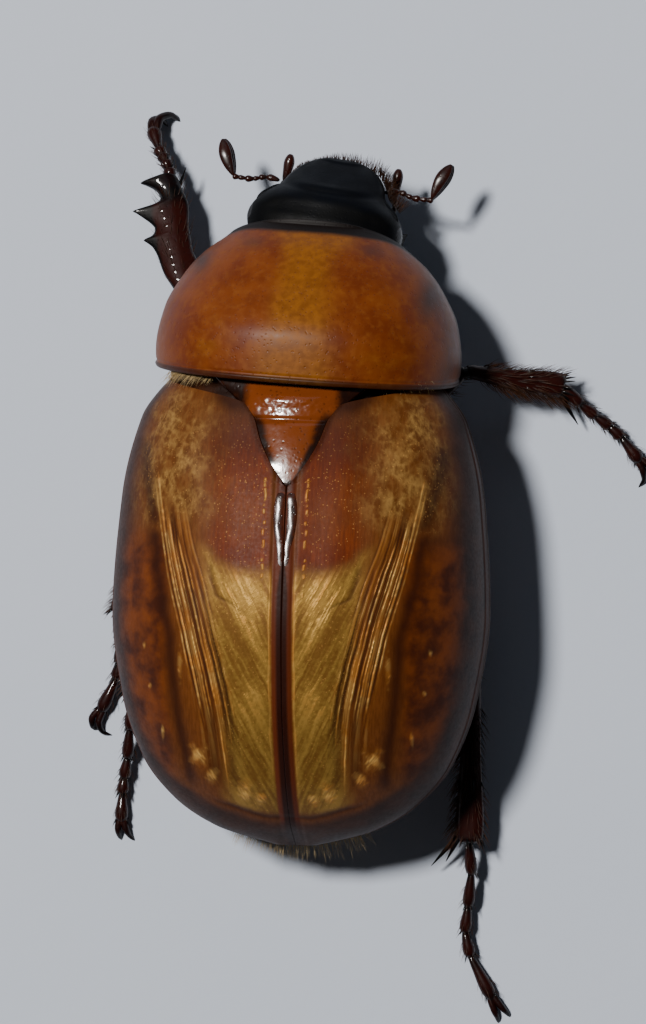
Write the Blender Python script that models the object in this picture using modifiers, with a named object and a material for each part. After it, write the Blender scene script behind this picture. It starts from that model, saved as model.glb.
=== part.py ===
"""A life-size scarab beetle, Cyclocephala sanguinicollis, standing still on its six feet.

Lengths are written in millimetres and become metres where a mesh is made (MM). The head points
along -Y, the beetle's own left side is +X, and the floor under its claws is Z = 0.
"""

import math
import random

import bmesh
import bpy
import numpy as np
from mathutils import Matrix, Vector

MM = 0.001

# Driving sizes of the body
GAP = 0.3
LEG_GAP = 0.22
SHELL = 0.5
BODY_FRONT = -10.1
ELYTRA_BASE = -3.3
ELYTRA_INNER_BASE = -2.35
ELYTRA_APEX = 9.95
SUTURE_GAP = 0.15
EDGE_ANGLE = 98.0
SIDE_POWER = 0.88
CROWN_POWER = 0.9
HEAD_REAR = -7.35
PROTHORAX_ENDS = (-7.55, -3.8)
THORAX_ENDS = (-3.3, 2.45)
ABDOMEN_ENDS = (2.75, 9.15)
ABDOMEN_TUCK = 0.5
BODY_WAIST = 4.2
PROTHORAX_BOTTOM = 2.3
PRONOTUM_YAW = -3.0
HEAD_YAW = -8.5
NECK = (-0.27, -7.4)
PRONOTUM_PIVOT = (0.05, -3.7)

# Outlines: (place along Y, size), joined by smooth curves
ELYTRA_HALF_WIDTH = [
    (-3.6, 3.85), (-2.4, 4.69), (-0.1, 5.23), (3.2, 5.44), (5.7, 5.1),
    (7.5, 4.46), (8.65, 3.54), (9.45, 2.3), (9.97, 0.5),
]
ELYTRA_TOP = [
    (-3.6, 7.2), (-2.0, 7.75), (0.0, 8.3), (3.0, 8.6), (5.5, 8.1), (7.9, 6.7), (9.3, 5.2), (9.97, 4.0),
]
ELYTRA_WAIST = [(-3.6, 4.5), (0.0, 4.2), (5.0, 4.0), (8.0, 3.9), (9.97, 3.75)]
PRONOTUM_HALF_WIDTH = [
    (-8.0, 2.1), (-7.6, 2.55), (-7.0, 3.28), (-6.4, 3.75), (-5.4, 4.25), (-4.3, 4.42), (-3.3, 4.3),
]
PRONOTUM_TOP = [(-8.0, 5.75), (-7.2, 6.55), (-6.0, 7.4), (-4.6, 8.0), (-3.3, 7.85)]
PRONOTUM_WAIST = [(-8.0, 4.4), (-5.5, 4.1), (-3.3, 4.15)]
THORAX_TOP = [(-3.2, 6.3), (-0.6, 6.9), (2.5, 7.6)]
THORAX_BELLY = [(-3.2, 1.75), (-1.5, 1.45), (2.5, 1.3)]
ABDOMEN_BELLY = [(2.7, 1.45), (5.5, 1.3), (8.0, 2.0), (9.4, 3.0)]
HEAD_HALF_WIDTH = [
    (-10.12, 0.42), (-9.94, 0.7), (-9.65, 1.15), (-9.12, 1.5), (-8.66, 2.02), (-8.4, 2.19), (-8.0, 2.27),
    (-7.2, 1.95),
]
HEAD_TOP = [(-10.12, 3.2), (-9.7, 3.75), (-9.1, 4.4), (-8.4, 4.85), (-7.7, 4.85), (-7.2, 4.6)]
HEAD_WAIST = [(-10.12, 3.0), (-9.2, 3.2), (-8.2, 3.7), (-7.2, 3.7)]
HEAD_BELLY = [(-10.12, 2.8), (-9.4, 2.7), (-8.2, 2.35), (-7.2, 2.5)]
SCUTELLUM_HALF_WIDTH = [(-3.25, 1.5), (-2.9, 1.28), (-2.35, 0.95), (-1.8, 0.82), (-1.2, 0.55), (-0.55, 0.12)]
SCUTELLUM_TOP = [(-3.25, 7.2), (-2.5, 7.6), (-1.2, 7.95), (-0.55, 8.05)]
PYGIDIUM_CENTRE = (0.0, 8.75, 2.15)
PYGIDIUM_RADII = (1.9, 1.15, 0.95)
VENTRITE_STEP = 0.1
VENTRITES = [3.6, 4.7, 5.8, 6.9, 8.0]
EYE_RADIUS = 0.58
EYE_CENTRE = (1.72, -8.05, 3.75)
CHIN = [(0, -7.9, 1.85), (0, -9.5, 2.15)]
JAW = [(0.98, -8.6, 1.95), (0.98, -9.2, 2.1), (0.75, -9.6, 2.2)]
PALPS = {
    "left": [(1.72, -8.75, 2.0), (1.6, -9.4, 2.05), (1.56, -10.05, 2.1)],
    "right": [(-1.72, -8.75, 2.0), (-1.65, -9.4, 2.05), (-1.6, -9.95, 2.1)],
}
ANTENNAE = {
    "left": ((1.25, -9.5, 2.85), (2.45, -9.52, 2.85), (2.8, -10.6, 2.75)),
    "right": ((-2.36, -9.24, 2.9), (-3.35, -8.95, 2.85), (-3.95, -9.95, 2.75)),
}
STALK_BEADS = 4
# The front and hind edges of the pronotum: place on the middle line, and how far the edge bends at the sides
PRONOTUM_FRONT = (-7.98, 0.5)
PRONOTUM_HIND = (-3.42, -0.4)
# Columns and rows of the open grids that become shells
ELYTRON_GRID = (12, 20)
PRONOTUM_GRID = (20, 10)
SCUTELLUM_GRID = (6, 8)

# Legs: the body's left side has side = 1. Joints from hip to claw, by their places on the photographed pose.
FORE_LEFT = {
    "coxa": (1.25, -5.3, 1.75), "knee": (3.6, -5.35, 2.35), "ankle": (4.5, -9.42, 1.45),
    "tarsus": [
        (4.6, -9.78, 1.36), (4.7, -9.98, 1.28), (4.82, -10.17, 1.2), (4.95, -10.38, 1.1), (5.2, -11.0, 0.75),
    ],
    "claw": [(5.16, -11.32, 0.6), (4.85, -11.45, 0.3), (4.55, -11.3, 0.02)], "outer": (1.0, -0.2, 0.1),
}
FORE_RIGHT = {
    "coxa": (-1.25, -5.3, 1.75), "knee": (-3.2, -4.75, 2.2), "ankle": (-1.15, -8.3, 1.15),
    "tarsus": [
        (-1.0, -8.62, 1.0), (-0.9, -8.8, 0.9), (-0.8, -8.98, 0.8), (-0.7, -9.15, 0.7), (-0.45, -9.65, 0.5),
    ],
    "claw": [(-0.35, -9.88, 0.4), (-0.25, -10.02, 0.22), (-0.12, -9.95, 0.02)], "outer": (-0.7, -0.35, -0.62),
}
MID_LEFT = {
    "coxa": (1.35, -1.7, 1.35), "knee": (4.65, 0.35, 2.3), "ankle": (5.7, 3.4, 1.3),
    "tarsus": [
        (5.75, 3.95, 1.0), (5.78, 4.4, 0.75), (5.82, 4.85, 0.55), (5.92, 5.35, 0.42), (6.38, 6.35, 0.32),
    ],
    "claw": [(6.55, 6.65, 0.3), (6.5, 6.9, 0.16), (6.25, 7.0, 0.02)], "outer": (1.0, -0.3, 0.3),
}
MID_RIGHT = {
    "coxa": (-1.35, -1.7, 1.35), "knee": (-4.4, -4.0, 2.3), "ankle": (-7.25, -3.65, 1.2),
    "tarsus": [
        (-7.75, -3.12, 0.95), (-8.18, -2.8, 0.72), (-8.6, -2.5, 0.55), (-8.93, -2.2, 0.42), (-9.5, -1.5, 0.32),
    ],
    "claw": [(-9.68, -1.3, 0.3), (-9.75, -1.08, 0.16), (-9.62, -0.85, 0.02)], "outer": (0.1, -1.0, 0.3),
}
HIND_LEFT = {
    "coxa": (1.5, 2.5, 1.2), "knee": (4.05, 1.95, 1.9), "ankle": (5.28, 5.9, 1.2),
    "tarsus": [
        (5.42, 6.85, 0.85), (5.5, 7.7, 0.6), (5.6, 8.3, 0.45), (5.66, 8.75, 0.38), (5.68, 9.6, 0.32),
    ],
    "claw": [(5.66, 9.85, 0.3), (5.6, 10.05, 0.16), (5.5, 10.2, 0.02)], "outer": (1.0, -0.3, 0.2),
}
HIND_RIGHT = {
    "coxa": (-1.5, 2.5, 1.2), "knee": (-4.95, 5.0, 2.1), "ankle": (-4.82, 9.85, 1.15),
    "tarsus": [
        (-4.88, 10.8, 0.8), (-4.78, 11.8, 0.55), (-4.7, 12.55, 0.42), (-4.86, 13.25, 0.36), (-5.55, 14.5, 0.32),
    ],
    "claw": [(-5.72, 14.8, 0.3), (-5.84, 15.0, 0.16), (-5.9, 15.15, 0.02)], "outer": (-1.0, 0.1, 0.2),
}
LEGS = {
    "fore_left": FORE_LEFT, "fore_right": FORE_RIGHT, "mid_left": MID_LEFT,
    "mid_right": MID_RIGHT, "hind_left": HIND_LEFT, "hind_right": HIND_RIGHT,
}
COXA_REACH = {"fore": 1.2, "mid": 1.3, "hind": 2.1}
FEMUR_WIDTH = {"fore": 0.95, "mid": 0.95, "hind": 1.1}
FEMUR_HEIGHT = {"fore": 0.7, "mid": 0.65, "hind": 0.6}
TIBIA_WIDTH = {"mid": (0.42, 0.78), "hind": (0.42, 0.88)}
TIBIA_HEIGHT = {"mid": (0.42, 0.6), "hind": (0.42, 0.6)}
# The digging tibia is a blade: its outer edge with three teeth and its inner edge, as (place, reach)
BLADE_OUTER = [
    (0.22, 0.16), (0.5, 0.27), (0.97, 0.45), (1.54, 0.69), (2.05, 0.77), (2.33, 0.86), (2.58, 1.06),
    (2.66, 0.95), (2.78, 0.78), (2.88, 0.72), (3.09, 0.82), (3.35, 1.07), (3.52, 1.25), (3.6, 0.8),
    (3.7, 0.46), (3.86, 0.4), (4.05, 0.5), (4.22, 0.68), (4.35, 0.82), (4.42, 0.5),
]
BLADE_INNER = [
    (0.22, -0.14), (0.5, -0.26), (1.2, -0.36), (1.72, -0.36), (2.11, -0.26), (2.75, -0.26), (3.45, -0.4),
    (3.94, -0.26), (4.42, -0.1),
]
BLADE_THICKNESS = [(-0.4, 0.5), (0.3, 0.5), (0.8, 0.32), (1.3, 0.2)]
BLADE_SIDES = 10
COXA_START = 0.35
COXA_RISE = 0.12
TARSUS_WIDTH = 0.38
LAST_SEGMENT = {"fore": 1.35, "mid": 1.15, "hind": 1.15}
# Spines round a tibia: (share of its length, their number, the tibia's radius there), and how far they reach
TIBIA_SPINES = [(0.95, 7, 0.4), (0.6, 4, 0.28)]
SPINE_REACH = 0.3
SPINE_RADIUS = 0.1
# The two spurs at a tibia's end: how far they lean inwards and reach ahead
SPURS = [(0.7, 0.75), (0.5, 0.55)]
CLAW_SIZES = [(0, 0.26), (0.5, 0.22), (1, 0.16)]
SOLE = 0.02

COLOURS = {
    "black": ((0.012, 0.012, 0.016), 0.22),
    "orange": ((0.42, 0.12, 0.015), 0.25),
    "gold": ((0.3, 0.15, 0.035), 0.3),
    "amber": ((0.4, 0.1, 0.015), 0.25),
    "leg": ((0.05, 0.01, 0.006), 0.25),
    "belly": ((0.16, 0.06, 0.02), 0.4),
}


def clear_scene():
    for obj in list(bpy.data.objects):
        bpy.data.objects.remove(obj)


def curve(points, place):
    """The size at a place on a smooth curve through (place, size) points, without overshoot."""
    xs = [p[0] for p in points]
    ys = [p[1] for p in points]
    if place <= xs[0]:
        return ys[0]
    if place >= xs[-1]:
        return ys[-1]
    i = int(np.searchsorted(xs, place)) - 1
    steps = [(ys[k + 1] - ys[k]) / (xs[k + 1] - xs[k]) for k in range(len(xs) - 1)]

    def slope(k):
        if k == 0:
            return steps[0]
        if k == len(xs) - 1:
            return steps[-1]
        if steps[k - 1] * steps[k] <= 0.0:
            return 0.0
        return 2.0 * steps[k - 1] * steps[k] / (steps[k - 1] + steps[k])

    width = xs[i + 1] - xs[i]
    t = (place - xs[i]) / width
    rise = (2 * t**3 - 3 * t**2 + 1) * ys[i] + (3 * t**2 - 2 * t**3) * ys[i + 1]
    return rise + width * ((t**3 - 2 * t**2 + t) * slope(i) + (t**3 - t**2) * slope(i + 1))


def along(points, t):
    """A point at share t of a smooth line through 3-D points."""
    marks = [k / (len(points) - 1) for k in range(len(points))]
    return Vector([curve(list(zip(marks, [p[axis] for p in points])), t) for axis in range(3)])


def signed_power(value, power):
    return math.copysign(abs(value) ** power, value)


def material(name, colour):
    colour_rgb, roughness = COLOURS[colour]
    made = bpy.data.materials.new(name)
    made.use_nodes = True
    shader = made.node_tree.nodes["Principled BSDF"]
    shader.inputs["Base Color"].default_value = (*colour_rgb, 1.0)
    shader.inputs["Roughness"].default_value = roughness
    shader.inputs["Metallic"].default_value = 0.0
    return made


def shape_object(name, bm):
    """An object made from a bmesh whose points are in millimetres. The bmesh is freed."""
    bmesh.ops.recalc_face_normals(bm, faces=bm.faces)
    bmesh.ops.scale(bm, vec=(MM, MM, MM), verts=bm.verts)
    if bm.calc_volume(signed=True) < 0.0:
        bmesh.ops.reverse_faces(bm, faces=bm.faces)
    mesh = bpy.data.meshes.new(name)
    bm.to_mesh(mesh)
    bm.free()
    return bpy.data.objects.new(name, mesh)


def finish_node(obj, colour, collection):
    collection.objects.link(obj)
    obj.data.materials.clear()
    obj.data.materials.append(material(obj.name + "_finish", colour))
    obj.data.shade_smooth()
    obj.data.set_sharp_from_angle(angle=math.radians(40))
    return obj


def sphere_form(name, segments, rings, place):
    """A UV sphere whose points move to place(c, phi): c runs from 1 to -1 between the poles."""
    bm = bmesh.new()
    bmesh.ops.create_uvsphere(bm, u_segments=segments, v_segments=rings, radius=1.0)
    for vert in bm.verts:
        c = max(-1.0, min(1.0, vert.co.z))
        vert.co = place(c, math.atan2(vert.co.y, vert.co.x))
    return shape_object(name, bm)


def body_form(name, ends, half_width, top, waist, bottom, segments=28, rings=16, blunt=5.0, box=0.85):
    """A rounded body along Y between two ends, its cross-section squarer as box falls below 1."""
    middle = 0.5 * (ends[0] + ends[1])
    half = 0.5 * (ends[1] - ends[0])

    def place(c, phi):
        y = middle + half * c
        end = (1.0 - abs(c) ** blunt) ** (1.0 / blunt)
        across = signed_power(math.cos(phi), box)
        up = signed_power(math.sin(phi), box)
        rise = top(y) - waist(y) if up > 0 else waist(y) - bottom(y)
        return Vector((half_width(y) * end * across, y, waist(y) + rise * end * up))

    return sphere_form(name, segments, rings, place)


def limb(name, path, widths, heights, out, segments=10, rings=9, blunt=3.0):
    """A tapering limb along a smooth path. Widths lie across it towards out, heights at right angles."""
    span = 1.0 / 128.0

    def place(c, phi):
        t = 0.5 * (1.0 - c)
        tangent = (along(path, min(1.0, t + span)) - along(path, max(0.0, t - span))).normalized()
        side = (Vector(out) - tangent * Vector(out).dot(tangent)).normalized()
        up = tangent.cross(side)
        end = (1.0 - abs(c) ** blunt) ** (1.0 / blunt)
        wide = 0.5 * curve(widths, t) * end * math.cos(phi)
        high = 0.5 * curve(heights, t) * end * math.sin(phi)
        return along(path, t) + side * wide + up * high

    return sphere_form(name, segments, rings, place)


def spine(root, tip, radius, sides=5):
    """A tapering spine from a root sunk in its limb to its tip."""
    line = Vector(tip) - Vector(root)
    bm = bmesh.new()
    place = Matrix.Translation(Vector(root) + 0.5 * line) @ line.to_track_quat("Z", "Y").to_matrix().to_4x4()
    bmesh.ops.create_cone(
        bm, cap_ends=True, segments=sides, radius1=radius, radius2=0.12 * radius, depth=line.length, matrix=place,
    )
    return shape_object("spine", bm)


def fused(name, pieces, cut=None):
    """One closed body from several: a union on a collection, less an optional cutter."""
    first = pieces[0]
    rest = bpy.data.collections.new(name + "_pieces")
    bpy.context.scene.collection.children.link(rest)
    bpy.context.scene.collection.objects.link(first)
    first.name = name
    for piece in pieces[1:]:
        rest.objects.link(piece)
    if len(pieces) > 1:
        union = first.modifiers.new("join", "BOOLEAN")
        union.operation = "UNION"
        union.operand_type = "COLLECTION"
        union.collection = rest
        union.solver = "EXACT"
    cutters = [bpy.data.objects.new("cutter", shape.data) for shape in cut or []]
    for cutter in cutters:
        bpy.context.scene.collection.objects.link(cutter)
        hole = first.modifiers.new("cut", "BOOLEAN")
        hole.operation = "DIFFERENCE"
        hole.object = cutter
        hole.solver = "EXACT"
    bpy.context.view_layer.update()
    evaluated = first.evaluated_get(bpy.context.evaluated_depsgraph_get())
    mesh = bpy.data.meshes.new_from_object(evaluated)
    bpy.data.objects.remove(first)
    for piece in list(rest.objects) + cutters:
        bpy.data.objects.remove(piece)
    bpy.data.collections.remove(rest)
    keep_largest(mesh)
    mesh.name = name
    return bpy.data.objects.new(name, mesh)


def keep_largest(mesh):
    """Keeps the closed surface with the most volume, and drops the others."""
    bm = bmesh.new()
    bm.from_mesh(mesh)
    bmesh.ops.triangulate(bm, faces=bm.faces)
    bm.faces.ensure_lookup_table()
    seen = set()
    shells = []
    for face in bm.faces:
        if face in seen:
            continue
        stack = [face]
        seen.add(face)
        shell = []
        while stack:
            current = stack.pop()
            shell.append(current)
            for edge in current.edges:
                for other in edge.link_faces:
                    if other not in seen:
                        seen.add(other)
                        stack.append(other)
        volume = sum(f.verts[0].co.dot(f.verts[1].co.cross(f.verts[2].co)) for f in shell) / 6.0
        shells.append((volume, len(shells), shell))
    largest = max(shells)[2]
    kept = set(largest)
    bmesh.ops.delete(bm, geom=[f for f in bm.faces if f not in kept], context="FACES")
    bm.to_mesh(mesh)
    bm.free()


def turn(obj, angle, pivot, start=(0.0, 0.0)):
    """Moves an object's mesh by start, then turns it about a vertical line, in degrees."""
    centre = Vector((pivot[0] * MM, pivot[1] * MM, 0.0))
    moved = Vector((start[0] * MM, start[1] * MM, 0.0))
    spin = Matrix.Rotation(math.radians(angle), 4, "Z")
    obj.data.transform(Matrix.Translation(centre) @ spin @ Matrix.Translation(moved - centre))
    return obj


def on_neck(obj):
    """Moves a part of the head, made on the middle line, to where the turned head carries it."""
    return turn(obj, HEAD_YAW, NECK, (NECK[0], 0.0))


def shell_point(theta, y, half_width, top, waist):
    """A point of a shell's outside: theta is 0 on the middle line and 90 degrees at the widest."""
    x = curve(half_width, y) * signed_power(math.sin(theta), SIDE_POWER)
    rise = curve(top, y) - curve(waist, y)
    return Vector((x, y, curve(waist, y) + rise * signed_power(math.cos(theta), CROWN_POWER)))


def elytron_inner_x(y):
    """How far from the middle line a wing case begins: beside the scutellum, then at the suture."""
    if y > SCUTELLUM_HALF_WIDTH[-1][0] + 0.4:
        return SUTURE_GAP
    return max(SUTURE_GAP, curve(SCUTELLUM_HALF_WIDTH, y - 0.1) + GAP)


def shell_from_grid(name, columns, rows, place, flip):
    """An open grid laid on place(u, v), thickened inwards to one closed shell."""
    bm = bmesh.new()
    bmesh.ops.create_grid(bm, x_segments=columns, y_segments=rows, size=1.0)
    for vert in bm.verts:
        vert.co = place(0.5 * (vert.co.x + 1.0), 0.5 * (vert.co.y + 1.0))
    if flip:
        bmesh.ops.reverse_faces(bm, faces=bm.faces)
    bmesh.ops.scale(bm, vec=(MM, MM, MM), verts=bm.verts)
    mesh = bpy.data.meshes.new(name)
    bm.to_mesh(mesh)
    bm.free()
    obj = bpy.data.objects.new(name, mesh)
    solid = obj.modifiers.new("thickness", "SOLIDIFY")
    solid.thickness = SHELL * MM
    solid.offset = -1.0
    solid.use_even_offset = False
    return obj


def elytron(side, collection):
    def place(u, v):
        share = 1.0 - (1.0 - v) ** 1.5
        inner_y = ELYTRA_INNER_BASE + (ELYTRA_APEX - ELYTRA_INNER_BASE) * share
        outer_y = ELYTRA_BASE + (ELYTRA_APEX - 0.02 - ELYTRA_BASE) * share
        y = inner_y + (outer_y - inner_y) * u**0.7
        width = curve(ELYTRA_HALF_WIDTH, y)
        start = math.asin(min(1.0, (elytron_inner_x(inner_y) / width)) ** (1.0 / SIDE_POWER))
        theta = start + (math.radians(EDGE_ANGLE) - start) * u
        point = shell_point(theta, y, ELYTRA_HALF_WIDTH, ELYTRA_TOP, ELYTRA_WAIST)
        point.x *= side
        return point

    name = "elytron_left" if side > 0 else "elytron_right"
    return finish_node(shell_from_grid(name, *ELYTRON_GRID, place, side < 0), "gold", collection)


def pronotum(collection):
    def place(u, v):
        across = 2.0 * u - 1.0
        theta = across * math.radians(EDGE_ANGLE)
        hind = PRONOTUM_HIND[0] + PRONOTUM_HIND[1] * across**2
        front = PRONOTUM_FRONT[0] + PRONOTUM_FRONT[1] * across**2
        y = front + (hind - front) * v
        return shell_point(theta, y, PRONOTUM_HALF_WIDTH, PRONOTUM_TOP, PRONOTUM_WAIST)

    shell = shell_from_grid("pronotum", *PRONOTUM_GRID, place, False)
    return finish_node(turn(shell, PRONOTUM_YAW, PRONOTUM_PIVOT), "orange", collection)


def scutellum(collection):
    def place(u, v):
        y = SCUTELLUM_HALF_WIDTH[0][0] + (SCUTELLUM_HALF_WIDTH[-1][0] - SCUTELLUM_HALF_WIDTH[0][0]) * v
        across = 2.0 * u - 1.0
        half = curve(SCUTELLUM_HALF_WIDTH, y)
        return Vector((half * across, y, curve(SCUTELLUM_TOP, y) - 0.12 * half * across**2))

    return finish_node(shell_from_grid("scutellum", *SCUTELLUM_GRID, place, False), "amber", collection)


def inflated(obj, amount):
    """A copy whose surface stands further out everywhere, to cut a clear socket."""
    copy = bpy.data.objects.new(obj.name + "_clearance", obj.data.copy())
    bm = bmesh.new()
    bm.from_mesh(copy.data)
    bm.normal_update()
    for vert in bm.verts:
        vert.co = vert.co + vert.normal * amount * MM
    bm.to_mesh(copy.data)
    bm.free()
    return copy


def coxa_form(leg):
    """The hip piece: a barrel lying across the body, sunk in a socket of the breast plate."""
    x, y, z = LEGS[leg]["coxa"]
    side = 1.0 if x > 0 else -1.0
    reach = COXA_REACH[leg.split("_")[0]]
    inner = Vector((side * COXA_START, y, z))
    outer = Vector((side * (COXA_START + reach), y, z + COXA_RISE * reach))
    return limb("coxa_" + leg, [inner, outer], [(0, 0.8), (1, 0.7)], [(0, 0.9), (1, 0.7)], (0, 1, 0), 10, 8)


def trunk(clearances, collection):
    """The breast plates and the belly, cut clear of the head, the hips and the thighs folded against them."""
    prothorax = body_form(
        "prosternum", PROTHORAX_ENDS, lambda y: curve(PRONOTUM_HALF_WIDTH, y) - SHELL - GAP - 0.2,
        lambda y: curve(PRONOTUM_TOP, y) - SHELL - GAP - 0.3, lambda y: BODY_WAIST,
        lambda y: PROTHORAX_BOTTOM, 24, 12,
    )
    turn(prothorax, PRONOTUM_YAW, PRONOTUM_PIVOT)
    thorax = body_form(
        "thorax", THORAX_ENDS, lambda y: curve(ELYTRA_HALF_WIDTH, y) - SHELL - GAP - 0.1,
        lambda y: curve(THORAX_TOP, y), lambda y: BODY_WAIST, lambda y: curve(THORAX_BELLY, y), 26, 12, 7.0,
    )
    belly = body_form(
        "abdomen", ABDOMEN_ENDS, lambda y: curve(ELYTRA_HALF_WIDTH, y + ABDOMEN_TUCK) - SHELL - GAP - 0.1,
        lambda y: curve(ELYTRA_TOP, y + ABDOMEN_TUCK) - SHELL - GAP - 0.25, lambda y: BODY_WAIST - 0.2,
        abdomen_belly, 26, 24, 7.0,
    )
    pygidium(inflated(belly, GAP), collection)
    for form in (prothorax, thorax, belly):
        near = [shape for shape in clearances if boxes_meet(form, shape)]
        finish_node(fused(form.name, [form], near), "belly", collection)


def abdomen_belly(y):
    """The belly's height: each plate rises towards its rear edge, where the next begins a step lower."""
    passed = [edge for edge in VENTRITES if edge <= y]
    start = passed[-1] if passed else ABDOMEN_BELLY[0][0]
    return curve(ABDOMEN_BELLY, y) + VENTRITE_STEP * (1.0 - min(1.0, (y - start) / 0.8))


def boxes_meet(one, other):
    """Whether two objects' boxes share any space."""
    for axis in range(3):
        mine = [v.co[axis] for v in one.data.vertices]
        theirs = [v.co[axis] for v in other.data.vertices]
        if min(mine) > max(theirs) or min(theirs) > max(mine):
            return False
    return True


def pygidium(belly, collection):
    """The plate that closes the belly's end, a cap with the gap to it that stays under the wing cases."""
    centre, radii = Vector(PYGIDIUM_CENTRE), Vector(PYGIDIUM_RADII)

    def place(c, phi):
        around = math.sqrt(max(0.0, 1.0 - c * c))
        x, y = radii.x * around * math.cos(phi), radii.y * around * math.sin(phi)
        return centre + Vector((x, y, radii.z * c))

    finish_node(fused("pygidium", [sphere_form("pygidium", 20, 12, place)], [belly]), "belly", collection)


def head_nodes(collection):
    eyes = []
    for side, name in ((1.0, "eye_left"), (-1.0, "eye_right")):
        centre = Vector((side * EYE_CENTRE[0], EYE_CENTRE[1], EYE_CENTRE[2]))

        def place(c, phi, centre=centre):
            around = math.sqrt(max(0.0, 1.0 - c * c))
            return centre + EYE_RADIUS * Vector((around * math.cos(phi), around * math.sin(phi), c))

        eyes.append(sphere_form(name, 12, 8, place))
    skull = body_form(
        "head", (BODY_FRONT, HEAD_REAR), lambda y: curve(HEAD_HALF_WIDTH, y), lambda y: curve(HEAD_TOP, y),
        lambda y: curve(HEAD_WAIST, y), lambda y: curve(HEAD_BELLY, y), 24, 15, 8.0, 0.9,
    )
    clear = [on_neck(inflated(form, GAP)) for form in [skull] + eyes]
    head = fused("head", [skull], [inflated(eye, LEG_GAP) for eye in eyes])
    for node in [head] + eyes:
        finish_node(on_neck(node), "black", collection)
    return clear


def jaw_nodes(collection):
    """The parts under the head's front edge: chin, jaws, and the palps that the photo shows beside it."""
    chin = limb("labium", CHIN, [(0, 0.9), (1, 0.6)], [(0, 0.5), (1, 0.45)], (1, 0, 0))
    finish_node(on_neck(chin), "leg", collection)
    for side, word in ((1.0, "left"), (-1.0, "right")):
        jaw_path = [(side * x, y, z) for x, y, z in JAW]
        jaw = limb("mandible_" + word, jaw_path, [(0, 0.5), (0.6, 0.5), (1, 0.3)],
                   [(0, 0.45), (1, 0.35)], (1, 0, 0), 8, 8)
        palp = limb("palp_" + word, PALPS[word], [(0, 0.32), (0.5, 0.32), (0.8, 0.36), (1, 0.26)],
                    [(0, 0.32), (0.8, 0.36), (1, 0.26)], (1, 0, 0), 8, 9)
        for node in (jaw, palp):
            finish_node(on_neck(node), "leg", collection)


def antenna(word, collection):
    """A stalk of small segments, then a club of three leaves that lie against each other."""
    root, elbow, club_tip = (Vector(point) for point in ANTENNAE[word])
    beads = []
    for k in range(STALK_BEADS):
        start = root.lerp(elbow, 0.95 * (k / STALK_BEADS - (0.02 if k else 0.0)))
        end = root.lerp(elbow, 0.95 * ((k + 1) / STALK_BEADS + (0.06 if k < STALK_BEADS - 1 else 0.0)))
        beads.append(limb("bead", [start, end], [(0, 0.34), (0.7, 0.42), (1, 0.36)],
                          [(0, 0.34), (0.7, 0.42), (1, 0.36)], (0, 1, 0), 7, 5))
    finish_node(fused("antenna_" + word, beads), "leg", collection)
    line = (club_tip - elbow).normalized()
    base = elbow + line * (GAP + 0.03)
    leaves = []
    for k in (-1, 0, 1):
        shift = Vector((0, 0, 0.16 * k))
        path = [base + 0.4 * shift, base.lerp(club_tip, 0.5) + shift, club_tip + 0.7 * shift]
        leaves.append(limb("leaf", path, [(0, 0.3), (0.45, 0.5), (1, 0.3)], [(0, 0.2), (0.5, 0.24), (1, 0.16)],
                           (1, 0, 0), 7, 7))
    finish_node(fused("antennal_club_" + word, leaves), "leg", collection)


def spine_ring(path, out, share, count, radius, seed):
    """Spines around a tibia at one share of its length, leaning towards its end."""
    draw = random.Random(seed)
    near = along(path, share)
    ahead = (along(path, 1.0) - along(path, 0.9)).normalized()
    side = (Vector(out) - ahead * Vector(out).dot(ahead)).normalized()
    up = ahead.cross(side)
    spines = []
    for k in range(count):
        angle = 2.0 * math.pi * (k + 0.3 * draw.random()) / count
        outward = side * math.cos(angle) + up * math.sin(angle)
        root = near + outward * radius * 0.45 - ahead * 0.1
        tip = near + outward * (radius + 0.16) + ahead * SPINE_REACH * (0.8 + 0.4 * draw.random())
        tip.z = max(tip.z, 0.3)
        spines.append(spine(root, tip, SPINE_RADIUS))
    return spines


def blade(name, knee, ankle, out):
    """A flat digging tibia with three teeth, as closed rings at each place of its outer edge."""
    ahead = (ankle - knee).normalized()
    side = (out - ahead * out.dot(ahead)).normalized()
    up = ahead.cross(side)
    bm = bmesh.new()
    rings = []
    for place, outer in BLADE_OUTER:
        inner = curve(BLADE_INNER, place)
        ring = []
        for k in range(BLADE_SIDES):
            phi = 2.0 * math.pi * k / BLADE_SIDES
            reach = 0.5 * (outer + inner) + 0.5 * (outer - inner) * math.cos(phi)
            high = 0.5 * curve(BLADE_THICKNESS, reach) * signed_power(math.sin(phi), 0.8)
            ring.append(bm.verts.new(knee + ahead * place + side * reach + up * high))
        rings.append(ring)
    for near, far in zip(rings[:-1], rings[1:]):
        for k in range(BLADE_SIDES):
            beside = (k + 1) % BLADE_SIDES
            bm.faces.new((near[k], near[beside], far[beside], far[k]))
    bm.faces.new(rings[0])
    bm.faces.new(rings[-1])
    return shape_object(name, bm)


def tibia_shaft(leg, data):
    kind = leg.split("_")[0]
    knee, ankle, out = Vector(data["knee"]), Vector(data["ankle"]), Vector(data["outer"]).normalized()
    start = knee + (ankle - knee).normalized() * (LEG_GAP + 0.06)
    path = [start, start.lerp(ankle, 0.5) - out * 0.04, ankle]
    if kind == "fore":
        return blade("tibia_" + leg, knee, ankle, out), path
    narrow, wide = TIBIA_WIDTH[kind]
    low, high = TIBIA_HEIGHT[kind]
    widths = [(0, narrow), (0.55, 0.5 * (narrow + wide)), (1, wide)]
    return limb("tibia_" + leg, path, widths, [(0, low), (1, high)], out, 10, 7, 5.0), path


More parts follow.
